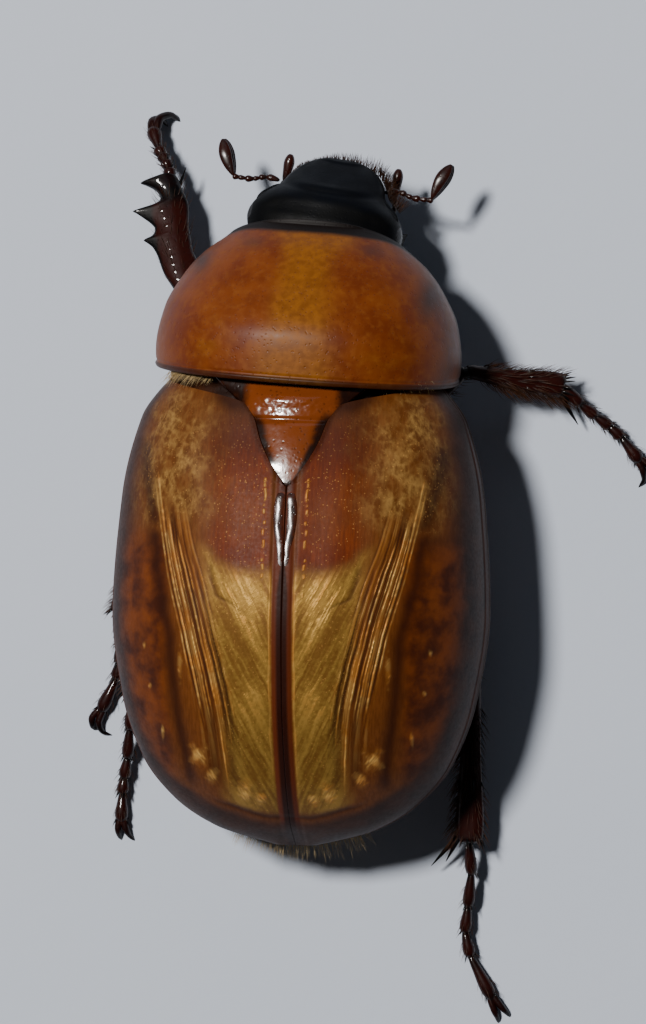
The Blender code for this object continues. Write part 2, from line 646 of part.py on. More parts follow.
def tibia_arms(leg, data, path):
    """The spur of a digging fore tibia, or the spines and two spurs of the others."""
    out = Vector(data["outer"]).normalized()
    line = (path[-1] - path[0]).normalized()
    arms = []
    if leg.startswith("fore"):
        return [spine(along(path, 0.85) - out * 0.15, along(path, 0.97) - out * 0.55 + line * 0.3, 0.12)]
    for number, (share, count, radius) in enumerate(TIBIA_SPINES):
        arms += spine_ring(path, out, share, count, radius, 10 * number + sorted(LEGS).index(leg))
    for lean, reach in SPURS:
        root = along(path, 0.92) - out * 0.2
        arms.append(spine(root, along(path, 1.0) - out * lean + line * reach, 0.13, 6))
    return arms


def femur(leg, data, hip, collection, coxa):
    kind = leg.split("_")[0]
    knee = Vector(data["knee"])
    wide, high = FEMUR_WIDTH[kind], FEMUR_HEIGHT[kind]
    shaft = limb("femur_" + leg, [hip, hip.lerp(knee, 0.5), knee], [(0, 0.5), (0.4, wide), (1, 0.5)],
                 [(0, 0.45), (0.4, high), (1, 0.42)], (0, 1, 0), 10, 8, 4.0)
    clear = inflated(shaft, LEG_GAP)
    finish_node(fused("femur_" + leg, [shaft], [inflated(coxa, LEG_GAP)]), "leg", collection)
    return clear


def tarsus(leg, data, collection):
    """Five foot segments, each widest near its end, and two claws."""
    ankle = Vector(data["ankle"])
    joints = [Vector(p) for p in data["tarsus"]]
    first = ankle + (joints[0] - ankle).normalized() * LEG_GAP
    pieces = []
    for k, (start, end) in enumerate(zip([first] + joints[:-1], joints)):
        swell = TARSUS_WIDTH * (LAST_SEGMENT[leg.split("_")[0]] if k == 4 else 1.0)
        ahead = (end - start).normalized()
        begin = start if k == 0 else start - ahead * 0.12
        widths = [(0, 0.26), (0.75, swell), (1, swell * 0.8)]
        heights = [(0, 0.26), (0.75, swell * 0.95), (1, swell * 0.8)]
        pieces.append(limb("tarsomere", [begin, end + ahead * 0.06], widths, heights, (0, 1, 0), 6, 5, 3.0))
    ground_claws(pieces, joints[-1], [Vector(p) for p in data["claw"]], joints[-1] - joints[-2])
    return finish_node(fused("tarsus_" + leg, pieces, [floor_block()]), "leg", collection)


def ground_claws(pieces, root, path, ahead):
    """Two hooked claws from the last foot segment, their ends on the floor."""
    side = Vector((-ahead.y, ahead.x, 0.0)).normalized()
    for spread in (-1.0, 1.0):
        hook = [root - ahead.normalized() * 0.1 + side * 0.06 * spread]
        for step, point in enumerate(path):
            hook.append(point + side * spread * (0.14 + 0.06 * step))
        pieces.append(limb("claw", hook, CLAW_SIZES, CLAW_SIZES, (0.3, 0.2, 1.0), 5, 6, 4.0))


def floor_block():
    """A cutter that takes off whatever would reach below the floor and leaves the feet's small flats."""
    bm = bmesh.new()
    bmesh.ops.create_cube(bm, size=60.0, matrix=Matrix.Translation((0, 0, -30.0 + SOLE)))
    return shape_object("floor_block", bm)


def legs(collection):
    """Six legs, each joint cut clear of the piece before it. It returns the room of hips and thighs."""
    folded = []
    for leg, data in LEGS.items():
        coxa = coxa_form(leg)
        x, y, z = data["coxa"]
        reach = COXA_REACH[leg.split("_")[0]]
        hip = Vector((math.copysign(0.2 + reach, x), y, z + 0.1 * reach))
        thigh = femur(leg, data, hip, collection, coxa)
        foot = tarsus(leg, data, collection)
        shaft, path = tibia_shaft(leg, data)
        clear = [thigh, inflated(foot_root(data), LEG_GAP)]
        finish_node(fused("tibia_" + leg, [shaft] + tibia_arms(leg, data, path), clear), "leg", collection)
        folded += [inflated(coxa, GAP), thigh]
        finish_node(coxa, "leg", collection)
    return folded


def foot_root(data):
    """The first foot segment alone, to keep the tibia's spines clear of it."""
    ankle = Vector(data["ankle"])
    joints = [Vector(p) for p in data["tarsus"][:2]]
    first = ankle + (joints[0] - ankle).normalized() * LEG_GAP
    wide = [(0, 0.26), (0.4, TARSUS_WIDTH), (1, TARSUS_WIDTH)]
    return limb("foot_root", [first, joints[0], joints[1]], wide, wide, (0, 1, 0), 8, 7, 3.0)


def set_on_origin(collection):
    """Puts the middle of the beetle's box over the origin, feet at Z = 0, and drops the used cutters."""
    bpy.context.view_layer.update()
    graph = bpy.context.evaluated_depsgraph_get()
    corners = []
    for obj in collection.objects:
        mesh = obj.evaluated_get(graph).to_mesh()
        corners.append(np.array([v.co[:] for v in mesh.vertices]))
    points = np.concatenate(corners)
    low, high = points.min(axis=0), points.max(axis=0)
    shift = Matrix.Translation((-0.5 * (low[0] + high[0]), -0.5 * (low[1] + high[1]), -low[2]))
    for obj in collection.objects:
        obj.data.transform(shift)
    for obj in list(bpy.data.objects):
        if obj.name not in collection.objects:
            bpy.data.objects.remove(obj)


def build():
    clear_scene()
    beetle = bpy.data.collections.new("cyclocephala_sanguinicollis")
    bpy.context.scene.collection.children.link(beetle)
    head = head_nodes(beetle)
    jaw_nodes(beetle)
    antenna("left", beetle)
    antenna("right", beetle)
    pronotum(beetle)
    scutellum(beetle)
    elytron(1.0, beetle)
    elytron(-1.0, beetle)
    trunk(head + legs(beetle), beetle)
    set_on_origin(beetle)


build()
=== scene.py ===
"""Looks of the life-size scarab beetle: fine shells, legs, feelers, hairs and finishes round its solids.

Sizes are in millimetres in the beetle's own layout: the head points along -Y, its left side is +X and the
middle line of the wing cases is X = 0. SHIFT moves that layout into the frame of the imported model.
"""

import functools
import math

import bpy
import numpy as np
from mathutils import Matrix, Vector


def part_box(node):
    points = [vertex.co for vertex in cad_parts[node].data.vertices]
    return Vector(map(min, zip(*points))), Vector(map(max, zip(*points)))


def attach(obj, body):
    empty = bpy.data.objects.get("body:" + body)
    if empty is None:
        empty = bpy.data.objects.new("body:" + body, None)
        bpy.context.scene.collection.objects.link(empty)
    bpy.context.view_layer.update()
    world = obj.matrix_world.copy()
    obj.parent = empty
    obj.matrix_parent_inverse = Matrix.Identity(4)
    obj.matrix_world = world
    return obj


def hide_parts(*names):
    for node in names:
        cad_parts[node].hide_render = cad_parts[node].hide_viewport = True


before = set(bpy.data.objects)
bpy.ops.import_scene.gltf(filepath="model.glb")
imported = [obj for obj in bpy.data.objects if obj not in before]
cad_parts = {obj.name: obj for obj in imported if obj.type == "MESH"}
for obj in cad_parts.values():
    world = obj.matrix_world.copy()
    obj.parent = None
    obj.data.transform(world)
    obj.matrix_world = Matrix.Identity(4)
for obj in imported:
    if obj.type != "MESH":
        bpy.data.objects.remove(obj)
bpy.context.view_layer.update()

MM = 0.001
SOLE = 0.02  # height of the soles' flats in the beetle's own layout
TURN = 2.0 * math.pi

# Camera and the photo's scale
IMAGE_LONG_SIDE = 1024
MM_PER_PIXEL = 20.0 / 689.0
CAMERA_TARGET = np.array([-0.564, 0.247, 4.0])
CAMERA_DISTANCE = 160.0
CAMERA_TILT = math.radians(6.7)
CAMERA_ROLL = math.radians(1.5)
SENSOR = 36.0

# Driving sizes of the body, the same as those of the solids. Lists hold (y, size) points along it
ELYTRA_INNER_BASE = -2.75
ELYTRA_APEX = 9.95
EDGE_ANGLE = math.radians(98.0)
SIDE_POWER = 0.88
CROWN_POWER = 0.9
PRONOTUM_YAW = math.radians(-3.0)
PRONOTUM_PIVOT = np.array([0.05, -3.7, 0.0])
HEAD_YAW = math.radians(-8.5)
NECK = np.array([-0.27, -7.4, 0.0])
NECK_CENTRE = np.array([-0.2, -7.2, 4.3])
NECK_RADII = np.array([2.45, 0.62, 1.5])
ELYTRA_HALF_WIDTH = [
    (-3.6, 3.85), (-2.4, 4.69), (-0.1, 5.23), (3.2, 5.44), (5.7, 5.1),
    (7.5, 4.46), (8.65, 3.54), (9.45, 2.3), (9.97, 0.5),
]
ELYTRA_TOP = [
    (-3.6, 7.2), (-2.0, 7.75), (0.0, 8.3), (3.0, 8.6), (5.5, 8.1), (7.9, 6.7), (9.3, 5.2), (9.97, 4.0),
]
ELYTRA_WAIST = [(-3.6, 4.5), (0.0, 4.2), (5.0, 4.0), (8.0, 3.9), (9.97, 3.75)]
PRONOTUM_HALF_WIDTH = [
    (-8.0, 2.1), (-7.6, 2.55), (-7.0, 3.28), (-6.4, 3.75), (-5.4, 4.25), (-4.3, 4.42), (-3.3, 4.3),
]
PRONOTUM_TOP = [(-8.0, 5.75), (-7.2, 6.55), (-6.0, 7.4), (-4.6, 8.0), (-3.3, 7.85)]
PRONOTUM_WAIST = [(-8.0, 4.4), (-5.5, 4.1), (-3.3, 4.15)]
THORAX_TOP = [(-3.2, 6.3), (-0.6, 6.9), (2.5, 7.6)]
THORAX_BELLY = [(-3.2, 1.75), (-1.5, 1.45), (2.5, 1.3)]
ABDOMEN_BELLY = [(2.7, 1.45), (5.5, 1.3), (8.0, 2.0), (9.4, 3.0)]
HEAD_HALF_WIDTH = [
    (-10.12, 0.5), (-10.0, 0.82), (-9.85, 1.05), (-9.65, 1.25), (-9.4, 1.42), (-9.15, 1.53), (-8.98, 1.72),
    (-8.8, 1.92), (-8.6, 2.08), (-8.35, 2.22), (-7.95, 2.28), (-7.2, 2.0),
]
HEAD_TOP = [(-10.12, 3.2), (-9.7, 3.75), (-9.1, 4.4), (-8.4, 4.85), (-7.7, 4.85), (-7.2, 4.6)]
HEAD_WAIST = [(-10.12, 3.0), (-9.2, 3.2), (-8.2, 3.7), (-7.2, 3.7)]
HEAD_BELLY = [(-10.12, 2.8), (-9.4, 2.7), (-8.2, 2.35), (-7.2, 2.5)]
SCUTELLUM_HALF_WIDTH = [(-3.25, 1.62), (-2.9, 1.45), (-2.35, 1.06), (-1.8, 0.87), (-1.2, 0.57), (-0.55, 0.12)]
SCUTELLUM_TOP = [(-3.25, 7.42), (-2.5, 7.67), (-1.05, 8.03), (-0.55, 8.08)]
# The tail plate: middle and radii, how far its fine shape is narrower, and its slant
PYGIDIUM_CENTRE = np.array([0.0, 8.75, 2.15])
PYGIDIUM_RADII = np.array([1.9, 1.15, 0.95])
TAIL_FIT = np.array([1.0, 0.92, 1.0])
TAIL_SLANT = 0.35
# Rear edges of the belly's plates, and the step between two of them
VENTRITES = [3.6, 4.7, 5.8, 6.9, 8.0]
VENTRITE_STEP = 0.12
EYE_RADIUS = 0.58
EYE_CENTRE = np.array([1.72, -8.05, 3.75])
# Mouth and feelers on the head's middle line, before the head is turned
JAW = [(0.98, -8.6, 1.95), (1.05, -9.15, 2.1), (0.75, -9.65, 2.25)]
PALPS = {
    "left": [(1.72, -8.75, 2.0), (1.6, -9.4, 2.05), (1.56, -10.05, 2.1)],
    "right": [(-1.72, -8.75, 2.0), (-1.68, -9.5, 2.05), (-1.66, -10.15, 2.1)],
}
ANTENNAE = {
    "left": ((1.1, -9.42, 2.85), (2.45, -9.52, 2.85), (2.8, -10.62, 2.75)),
    "right": ((-2.0, -9.13, 2.9), (-3.38, -8.93, 2.85), (-3.95, -9.97, 2.75)),
}

# Legs: joints from hip to claw, and the direction in which the outer edge of the tibia looks
LEGS = {
    "fore_left": {
        "coxa": (1.25, -5.3, 1.75), "knee": (3.6, -5.35, 2.35), "ankle": (4.5, -9.42, 1.45),
        "tarsus": [
            (4.6, -9.78, 1.36), (4.7, -9.98, 1.28), (4.82, -10.17, 1.2), (4.95, -10.38, 1.1),
            (5.2, -11.0, 0.75),
        ],
        "claw": [(5.14, -11.28, 0.6), (4.9, -11.4, 0.3), (4.68, -11.22, 0.02)],
        "outer": (1.0, -0.2, 0.1),
    },
    "fore_right": {
        "coxa": (-1.25, -5.3, 1.75), "knee": (-3.2, -4.75, 2.2), "ankle": (-1.15, -8.3, 1.15),
        "tarsus": [
            (-1.0, -8.62, 1.0), (-0.9, -8.8, 0.9), (-0.8, -8.98, 0.8), (-0.7, -9.15, 0.7),
            (-0.45, -9.65, 0.5),
        ],
        "claw": [(-0.35, -9.88, 0.4), (-0.25, -10.02, 0.22), (-0.12, -9.95, 0.02)],
        "outer": (-0.7, -0.35, -0.62),
    },
    "mid_left": {
        "coxa": (1.35, -1.7, 1.35), "knee": (4.65, 0.35, 2.3), "ankle": (5.7, 3.4, 1.3),
        "tarsus": [
            (5.75, 3.95, 1.0), (5.78, 4.4, 0.75), (5.82, 4.85, 0.55), (5.92, 5.35, 0.42), (6.38, 6.35, 0.32),
        ],
        "claw": [(6.55, 6.65, 0.3), (6.5, 6.9, 0.16), (6.25, 7.0, 0.02)],
        "outer": (1.0, -0.3, 0.3),
    },
    "mid_right": {
        "coxa": (-1.35, -1.7, 1.35), "knee": (-4.4, -4.0, 2.3), "ankle": (-7.25, -3.65, 1.2),
        "tarsus": [
            (-7.75, -3.12, 0.95), (-8.18, -2.8, 0.72), (-8.6, -2.5, 0.55), (-8.93, -2.2, 0.42),
            (-9.5, -1.5, 0.32),
        ],
        "claw": [(-9.68, -1.3, 0.3), (-9.75, -1.08, 0.16), (-9.62, -0.85, 0.02)],
        "outer": (0.1, -1.0, 0.3),
    },
    "hind_left": {
        "coxa": (1.5, 2.5, 1.2), "knee": (4.05, 1.95, 1.9), "ankle": (5.28, 5.9, 1.2),
        "tarsus": [
            (5.42, 6.85, 0.85), (5.5, 7.7, 0.6), (5.6, 8.3, 0.45), (5.66, 8.75, 0.38), (5.68, 9.6, 0.32),
        ],
        "claw": [(5.66, 9.85, 0.3), (5.6, 10.05, 0.16), (5.5, 10.2, 0.02)],
        "outer": (1.0, -0.3, 0.2),
    },
    "hind_right": {
        "coxa": (-1.5, 2.5, 1.2), "knee": (-4.95, 5.0, 2.1), "ankle": (-4.82, 9.85, 1.15),
        "tarsus": [
            (-4.88, 10.8, 0.8), (-4.78, 11.8, 0.55), (-4.7, 12.55, 0.42), (-4.86, 13.25, 0.36),
            (-5.55, 14.5, 0.32),
        ],
        "claw": [(-5.72, 14.8, 0.3), (-5.84, 15.0, 0.16), (-5.9, 15.15, 0.02)],
        "outer": (-1.0, 0.1, 0.2),
    },
}
COXA_REACH = {"fore": 1.2, "mid": 1.3, "hind": 2.1}
FEMUR_WIDTH = {"fore": 0.95, "mid": 0.95, "hind": 1.1}
FEMUR_HEIGHT = {"fore": 0.7, "mid": 0.65, "hind": 0.6}
TIBIA_WIDTH = {"mid": (0.42, 0.78), "hind": (0.42, 0.88)}
TIBIA_HEIGHT = (0.42, 0.6)
# Spines of the middle and hind tibiae: share of the length, how many, their reach and radius
SPINE_RINGS = [(0.96, 13, 0.34, 0.045), (0.6, 7, 0.3, 0.04), (0.34, 4, 0.25, 0.035)]
LONG_SPUR = {"mid": 0.35, "hind": 0.9}
CLAW_SCALE = {"fore": 1.6, "mid": 1.15, "hind": 1.15}
TARSUS_WIDTH = 0.4
LAST_SEGMENT = {"fore": 1.2, "mid": 1.1, "hind": 1.1}
# The digging tibia's outer edge with its teeth, and its inner edge: (place from the knee, reach across)
BLADE_OUTER = [
    (0.0, 0.05), (0.22, 0.16), (0.5, 0.27), (0.97, 0.45), (1.54, 0.68), (2.05, 0.77), (2.33, 0.87),
    (2.5, 1.02), (2.58, 1.1), (2.62, 1.04), (2.68, 0.85), (2.8, 0.74), (2.9, 0.72), (3.05, 0.8),
    (3.25, 0.99), (3.43, 1.18), (3.52, 1.28), (3.56, 1.14), (3.62, 0.72), (3.7, 0.48), (3.82, 0.41),
    (3.95, 0.45), (4.1, 0.57), (4.25, 0.78), (4.34, 0.92), (4.4, 0.8), (4.46, 0.45), (4.52, 0.2),
]
BLADE_INNER = [
    (0.0, -0.06), (0.22, -0.14), (0.5, -0.26), (1.2, -0.36), (1.72, -0.36), (2.11, -0.28),
    (2.75, -0.28), (3.45, -0.38), (3.94, -0.28), (4.4, -0.16), (4.52, 0.1),
]
BLADE_THICKNESS = [(-0.4, 0.46), (0.3, 0.5), (0.8, 0.3), (1.3, 0.07)]

# Hairs: shares of the length where the rings of points lie, and the thickness there
HAIR_SHARES = np.array([0.0, 0.4, 0.75, 1.0])
HAIR_TAPER = np.array([1.0, 0.75, 0.45, 0.08])
HAIR_SIDES = 3
HAIR_PATCH = 0.003  # side of a hair's patch on the flat map
TIBIA_HAIRS = {"fore": 160, "mid": 380, "hind": 330}

SIDES = ((1.0, "left"), (-1.0, "right"))
# Slots that several pieces share
UNDER_SLOT = "underside_brown"


def frame_shift():
    """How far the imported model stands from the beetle's own layout, in metres."""
    low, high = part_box("elytron_left")
    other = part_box("elytron_right")[0]
    return np.array([0.5 * (high.x + other.x), high.y - ELYTRA_APEX * MM, -SOLE * MM])


SHIFT = frame_shift()


# Numbers and noise

def curve(points, places):
    """Sizes at places on a smooth curve through (place, size) points, without overshoot."""
    xs, ys = np.array(points, float).T
    steps = np.diff(ys) / np.diff(xs)
    product, total = steps[:-1] * steps[1:], steps[:-1] + steps[1:]
    inner = np.where(product > 0.0, 2.0 * product / np.where(total == 0.0, 1.0, total), 0.0)
    slopes = np.concatenate([steps[:1], inner, steps[-1:]])
    places = np.clip(np.asarray(places, float), xs[0], xs[-1])
    i = np.clip(np.searchsorted(xs, places) - 1, 0, len(xs) - 2)
    width = xs[i + 1] - xs[i]
    t = (places - xs[i]) / width
    rise = (2 * t**3 - 3 * t**2 + 1) * ys[i] + (3 * t**2 - 2 * t**3) * ys[i + 1]
    return rise + width * ((t**3 - 2 * t**2 + t) * slopes[i] + (t**3 - t**2) * slopes[i + 1])


def along(path, t):
    """Points at shares t of a smooth line through 3-D points."""
    marks = np.linspace(0.0, 1.0, len(path))
    path = np.array(path, float)
    return np.stack([curve(np.column_stack([marks, path[:, axis]]), t) for axis in range(3)], axis=-1)


def signed_power(values, power):
    return np.sign(values) * np.abs(values) ** power


def step(values, low, high):
    """0 below low, 1 above high, smooth between them."""
    t = np.clip((values - low) / (high - low), 0.0, 1.0)
    return t * t * (3.0 - 2.0 * t)


def fall(values, low, high):
    """1 below low, 0 above high, smooth between them."""
    return 1.0 - step(values, low, high)


def most(*masks):
    """The largest of several masks at each point."""
    return functools.reduce(np.maximum, masks)


def stacked(*values):
    """Points, colours or pairs from arrays of one shape and numbers that hold for all of it."""
    return np.stack(np.broadcast_arrays(*values), axis=-1)


def bell(values, centre, width):
    return np.exp(-(((values - centre) / width) ** 2))


def lattice(ix, iy, seed):
    h = np.sin(ix * 127.1 + iy * 311.7 + seed * 74.7) * 43758.5453
    return h - np.floor(h)


def noise(x, y, seed=0):
    """Smooth value noise from 0 to 1, one bump a unit."""
    ix, iy = np.floor(x), np.floor(y)
    fx, fy = (t * t * (3 - 2 * t) for t in (x - ix, y - iy))
    low = lattice(ix, iy, seed) * (1 - fx) + lattice(ix + 1, iy, seed) * fx
    high = lattice(ix, iy + 1, seed) * (1 - fx) + lattice(ix + 1, iy + 1, seed) * fx
    return low * (1 - fy) + high * fy


def fractal(x, y, seed=0, octaves=3):
    total, weight = 0.0, 0.0
    for k in range(octaves):
        total = total + noise(x * 2**k, y * 2**k, seed + k) / 2**k
        weight += 1.0 / 2**k
    return total / weight


def turned(points, angle, pivot):
    """Points turned about a vertical line."""
    c, s = math.cos(angle), math.sin(angle)
    spin = np.array([[c, -s, 0.0], [s, c, 0.0], [0.0, 0.0, 1.0]])
    return (points - pivot) @ spin.T + pivot


def unit(vectors):
    return vectors / np.maximum(np.linalg.norm(vectors, axis=-1, keepdims=True), 1e-9)


def arch(theta, half, waist, top):
    """Across and up on the body's arch, theta away from its crown."""
    across = half * signed_power(np.sin(theta), SIDE_POWER)
    return across, waist + (top - waist) * signed_power(np.cos(theta), CROWN_POWER)


def arch_angle(across, half):
    """The angle from the crown at a distance across the arch."""
    return np.arcsin(np.minimum(1.0, across / half) ** (1.0 / SIDE_POWER))


def angles_round(count):
    return np.linspace(0.0, TURN, count, endpoint=False)


def sphere(rings, segments):
    """Unit directions on a grid from pole to pole and round."""
    theta, phi = np.meshgrid(np.linspace(0, math.pi, rings), angles_round(segments), indexing="ij")
    return stacked(np.sin(theta) * np.cos(phi), np.sin(theta) * np.sin(phi), np.cos(theta))


# Meshes: a part is (points, faces, tone), where tone is a number at each point

def grid_faces(rows, columns, wrap=False):
    """Quads between neighbouring points of a grid of rows and columns."""
    row = np.arange(rows - 1)[:, None] * columns
    column = np.arange(columns if wrap else columns - 1)[None, :]
    beside = (column + 1) % columns
    corners = (row + column, row + beside, row + columns + beside, row + columns + column)
    return stacked(*corners).reshape(-1, 4)


def sheet(points, inside=None, wrap=False):
    """Points and faces of a grid of points, the faces turned away from a place inside it."""
    rows, columns = points.shape[:2]
    points, faces = points.reshape(-1, 3), grid_faces(rows, columns, wrap)
    inside = points.mean(axis=0) if inside is None else inside
    a, b, c, d = (points[faces[:, k]] for k in range(4))
    away = np.einsum("ij,ij->", np.cross(c - a, d - b), 0.25 * (a + b + c + d) - inside)
    return points, faces if away > 0 else faces[:, ::-1]


def joined(parts):
    points, faces, tones = zip(*parts)
    starts = np.cumsum([0] + [len(p) for p in points[:-1]])
    faces = [part_faces + start for part_faces, start in zip(faces, starts)]
    tones = [np.broadcast_to(tone, len(p)) for tone, p in zip(tones, points)]
    return np.concatenate(points), np.concatenate(faces), np.concatenate(tones)


def piece(name, part, finish, nodes=(), masks=None, bake=None):
    """A shown piece from a part in millimetres; it rides on the body and stands for the nodes."""
    points, faces, tone = part
    mesh = bpy.data.meshes.new(name)
    mesh.from_pydata(points * MM + SHIFT, [], faces)
    fields = {"tone": np.broadcast_to(tone, len(points)), **(masks or {})}
    for key, values in fields.items():
        if values.ndim == 1:
            mesh.attributes.new(key, "FLOAT", "POINT").data.foreach_set("value", values.astype(np.float32))
        else:
            colours = np.concatenate([values, np.ones((len(values), 1))], axis=1).astype(np.float32)
            layer = mesh.attributes.new(key, "FLOAT_COLOR", "POINT")
            layer.data.foreach_set("color", colours.ravel())
    if bake is not None:
        corners = np.zeros(len(mesh.loops), np.int32)
        mesh.loops.foreach_get("vertex_index", corners)
        places = bake[corners].astype(np.float32).ravel()
        mesh.uv_layers.new(name="OFBake").data.foreach_set("uv", places)
    mesh.materials.append(finish)
    mesh.shade_smooth()
    obj = bpy.data.objects.new(name, mesh)
    bpy.context.scene.collection.objects.link(obj)
    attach(obj, "root")
    if nodes:
        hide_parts(*nodes)


class Limb:
    """A tapering closed limb along a smooth path. Widths lie towards out, heights at right angles to it."""

    def __init__(self, path, widths, heights, out, blunt=4.0):
        self.path, self.widths, self.heights = path, widths, heights
        self.out, self.blunt = np.array(out, float), blunt

    def axes(self, t):
        near, far = (along(self.path, np.clip(t + move, 0, 1)) for move in (-0.01, 0.01))
        ahead = unit(far - near)
        side = unit(self.out - ahead * (ahead @ self.out)[..., None])
        return ahead, side, np.cross(ahead, side)

    def at(self, t, phi, grow=1.0):
        """Points on the surface and the directions that stand out from it and run ahead there."""
        t, phi = np.broadcast_arrays(np.asarray(t, float), np.asarray(phi, float))
        ahead, side, up = self.axes(t)
        c = 1.0 - 2.0 * t
        end = np.maximum(1.0 - np.abs(c) ** self.blunt, 1e-6) ** (1.0 / self.blunt)
        wide = (0.5 * curve(self.widths, t) * end * np.cos(phi) * grow)[..., None]
        high = (0.5 * curve(self.heights, t) * end * np.sin(phi) * grow)[..., None]
        away = side * np.cos(phi)[..., None] + up * np.sin(phi)[..., None]
        return along(self.path, t) + side * wide + up * high, away, ahead

    def part(self, rings=24, segments=16, relief=None, tone=0.0):
        t = 0.5 * (1.0 - np.cos(np.linspace(0.0, math.pi, rings)))
        t, phi = np.meshgrid(t, angles_round(segments), indexing="ij")
        points, away, _ = self.at(t, phi)
        if relief is not None:
            points = points + away * relief(t, phi)[..., None]
        shade = tone(t, phi) if callable(tone) else np.full(t.shape, tone)
        return *sheet(points, wrap=True), shade.ravel()


def scaled(sizes, factor):
    return [(place, factor * size) for place, size in sizes]


def ends_toned(tone, start=(0.0, 1.0), end=(0.0, 1.0)):
    """A limb's tone, with the (tone, length) that its start and its end add."""
    return lambda t, phi: tone + start[0] * bell(t, 0.0, start[1]) + end[0] * bell(t, 1.0, end[1])


def size_at(size, y):
    """A size along the body, from a number, a list of (y, size) points or a function of y."""
    if callable(size):
        return size(y)
    return curve(size, y) if isinstance(size, list) else size + 0.0 * y


def inset(sizes, less, ahead=0.0):
    """A function of y that stays less than the sizes a little further back."""
    return lambda y: curve(sizes, y + ahead) - less


def body_part(ends, sizes, grid, blunt, box, tone, relief=None):
    """A rounded body along Y between two ends, its cross-section squarer as box falls below 1.

    sizes are its half width and the heights of its top, waist and bottom.
    """
    rings, segments = grid
    c, phi = np.meshgrid(np.cos(np.linspace(0.0, math.pi, rings)), angles_round(segments), indexing="ij")
    y = 0.5 * (ends[0] + ends[1]) + 0.5 * (ends[1] - ends[0]) * c
    end = np.maximum(1.0 - np.abs(c) ** blunt, 0.0) ** (1.0 / blunt)
    across, up = signed_power(np.cos(phi), box), signed_power(np.sin(phi), box)
    half, top, waist, bottom = (size_at(size, y) for size in sizes)
    rise = np.where(up > 0, top - waist, waist - bottom)
    points = stacked(half * end * across, y, waist + rise * end * up)
    if relief is not None:
        points = relief(points, phi)
    return *sheet(points, wrap=True), tone(points).ravel()


def hair_part(roots, directions, lengths, radius, droop, unwrap):
    """Curved three-sided hairs. unwrap is each root's place on a flat map of the skin it grows on."""
    directions, droop = unit(directions), np.broadcast_to(droop, roots.shape)
    helper = np.where(np.abs(directions[:, 2:3]) < 0.9, [[0.0, 0.0, 1.0]], [[1.0, 0.0, 0.0]])
    side = unit(np.cross(directions, helper))
    other = np.cross(directions, side)
    shares = HAIR_SHARES[None, :, None]
    line = directions[:, None] * shares + droop[:, None] * shares**2
    centre = roots[:, None] + line * lengths[:, None, None]
    angles = angles_round(HAIR_SIDES)[:, None]
    ring = side[:, None, None] * np.cos(angles) + other[:, None, None] * np.sin(angles)
    points = centre[:, :, None] + ring * (radius * HAIR_TAPER)[None, :, None, None]
    rings = len(HAIR_SHARES)
    starts = rings * HAIR_SIDES * np.arange(len(roots))
    faces = (grid_faces(rings, HAIR_SIDES, True)[None] + starts[:, None, None]).reshape(-1, 4)
    patch = stacked(*np.meshgrid(HAIR_SHARES, np.arange(HAIR_SIDES) / 2.0, indexing="ij"))
    bake = (unwrap[:, None, None] + HAIR_PATCH * patch).reshape(-1, 2)
    tone = np.broadcast_to(HAIR_SHARES[:, None], points.shape[:3]).reshape(-1)
    return (points.reshape(-1, 3), faces, tone), bake


def hair_piece(name, groups, finish):
    """One coat piece from groups of hairs."""
    parts, maps = zip(*groups)
    piece(name, joined(parts), finish, bake=np.concatenate(maps))


# Finishes

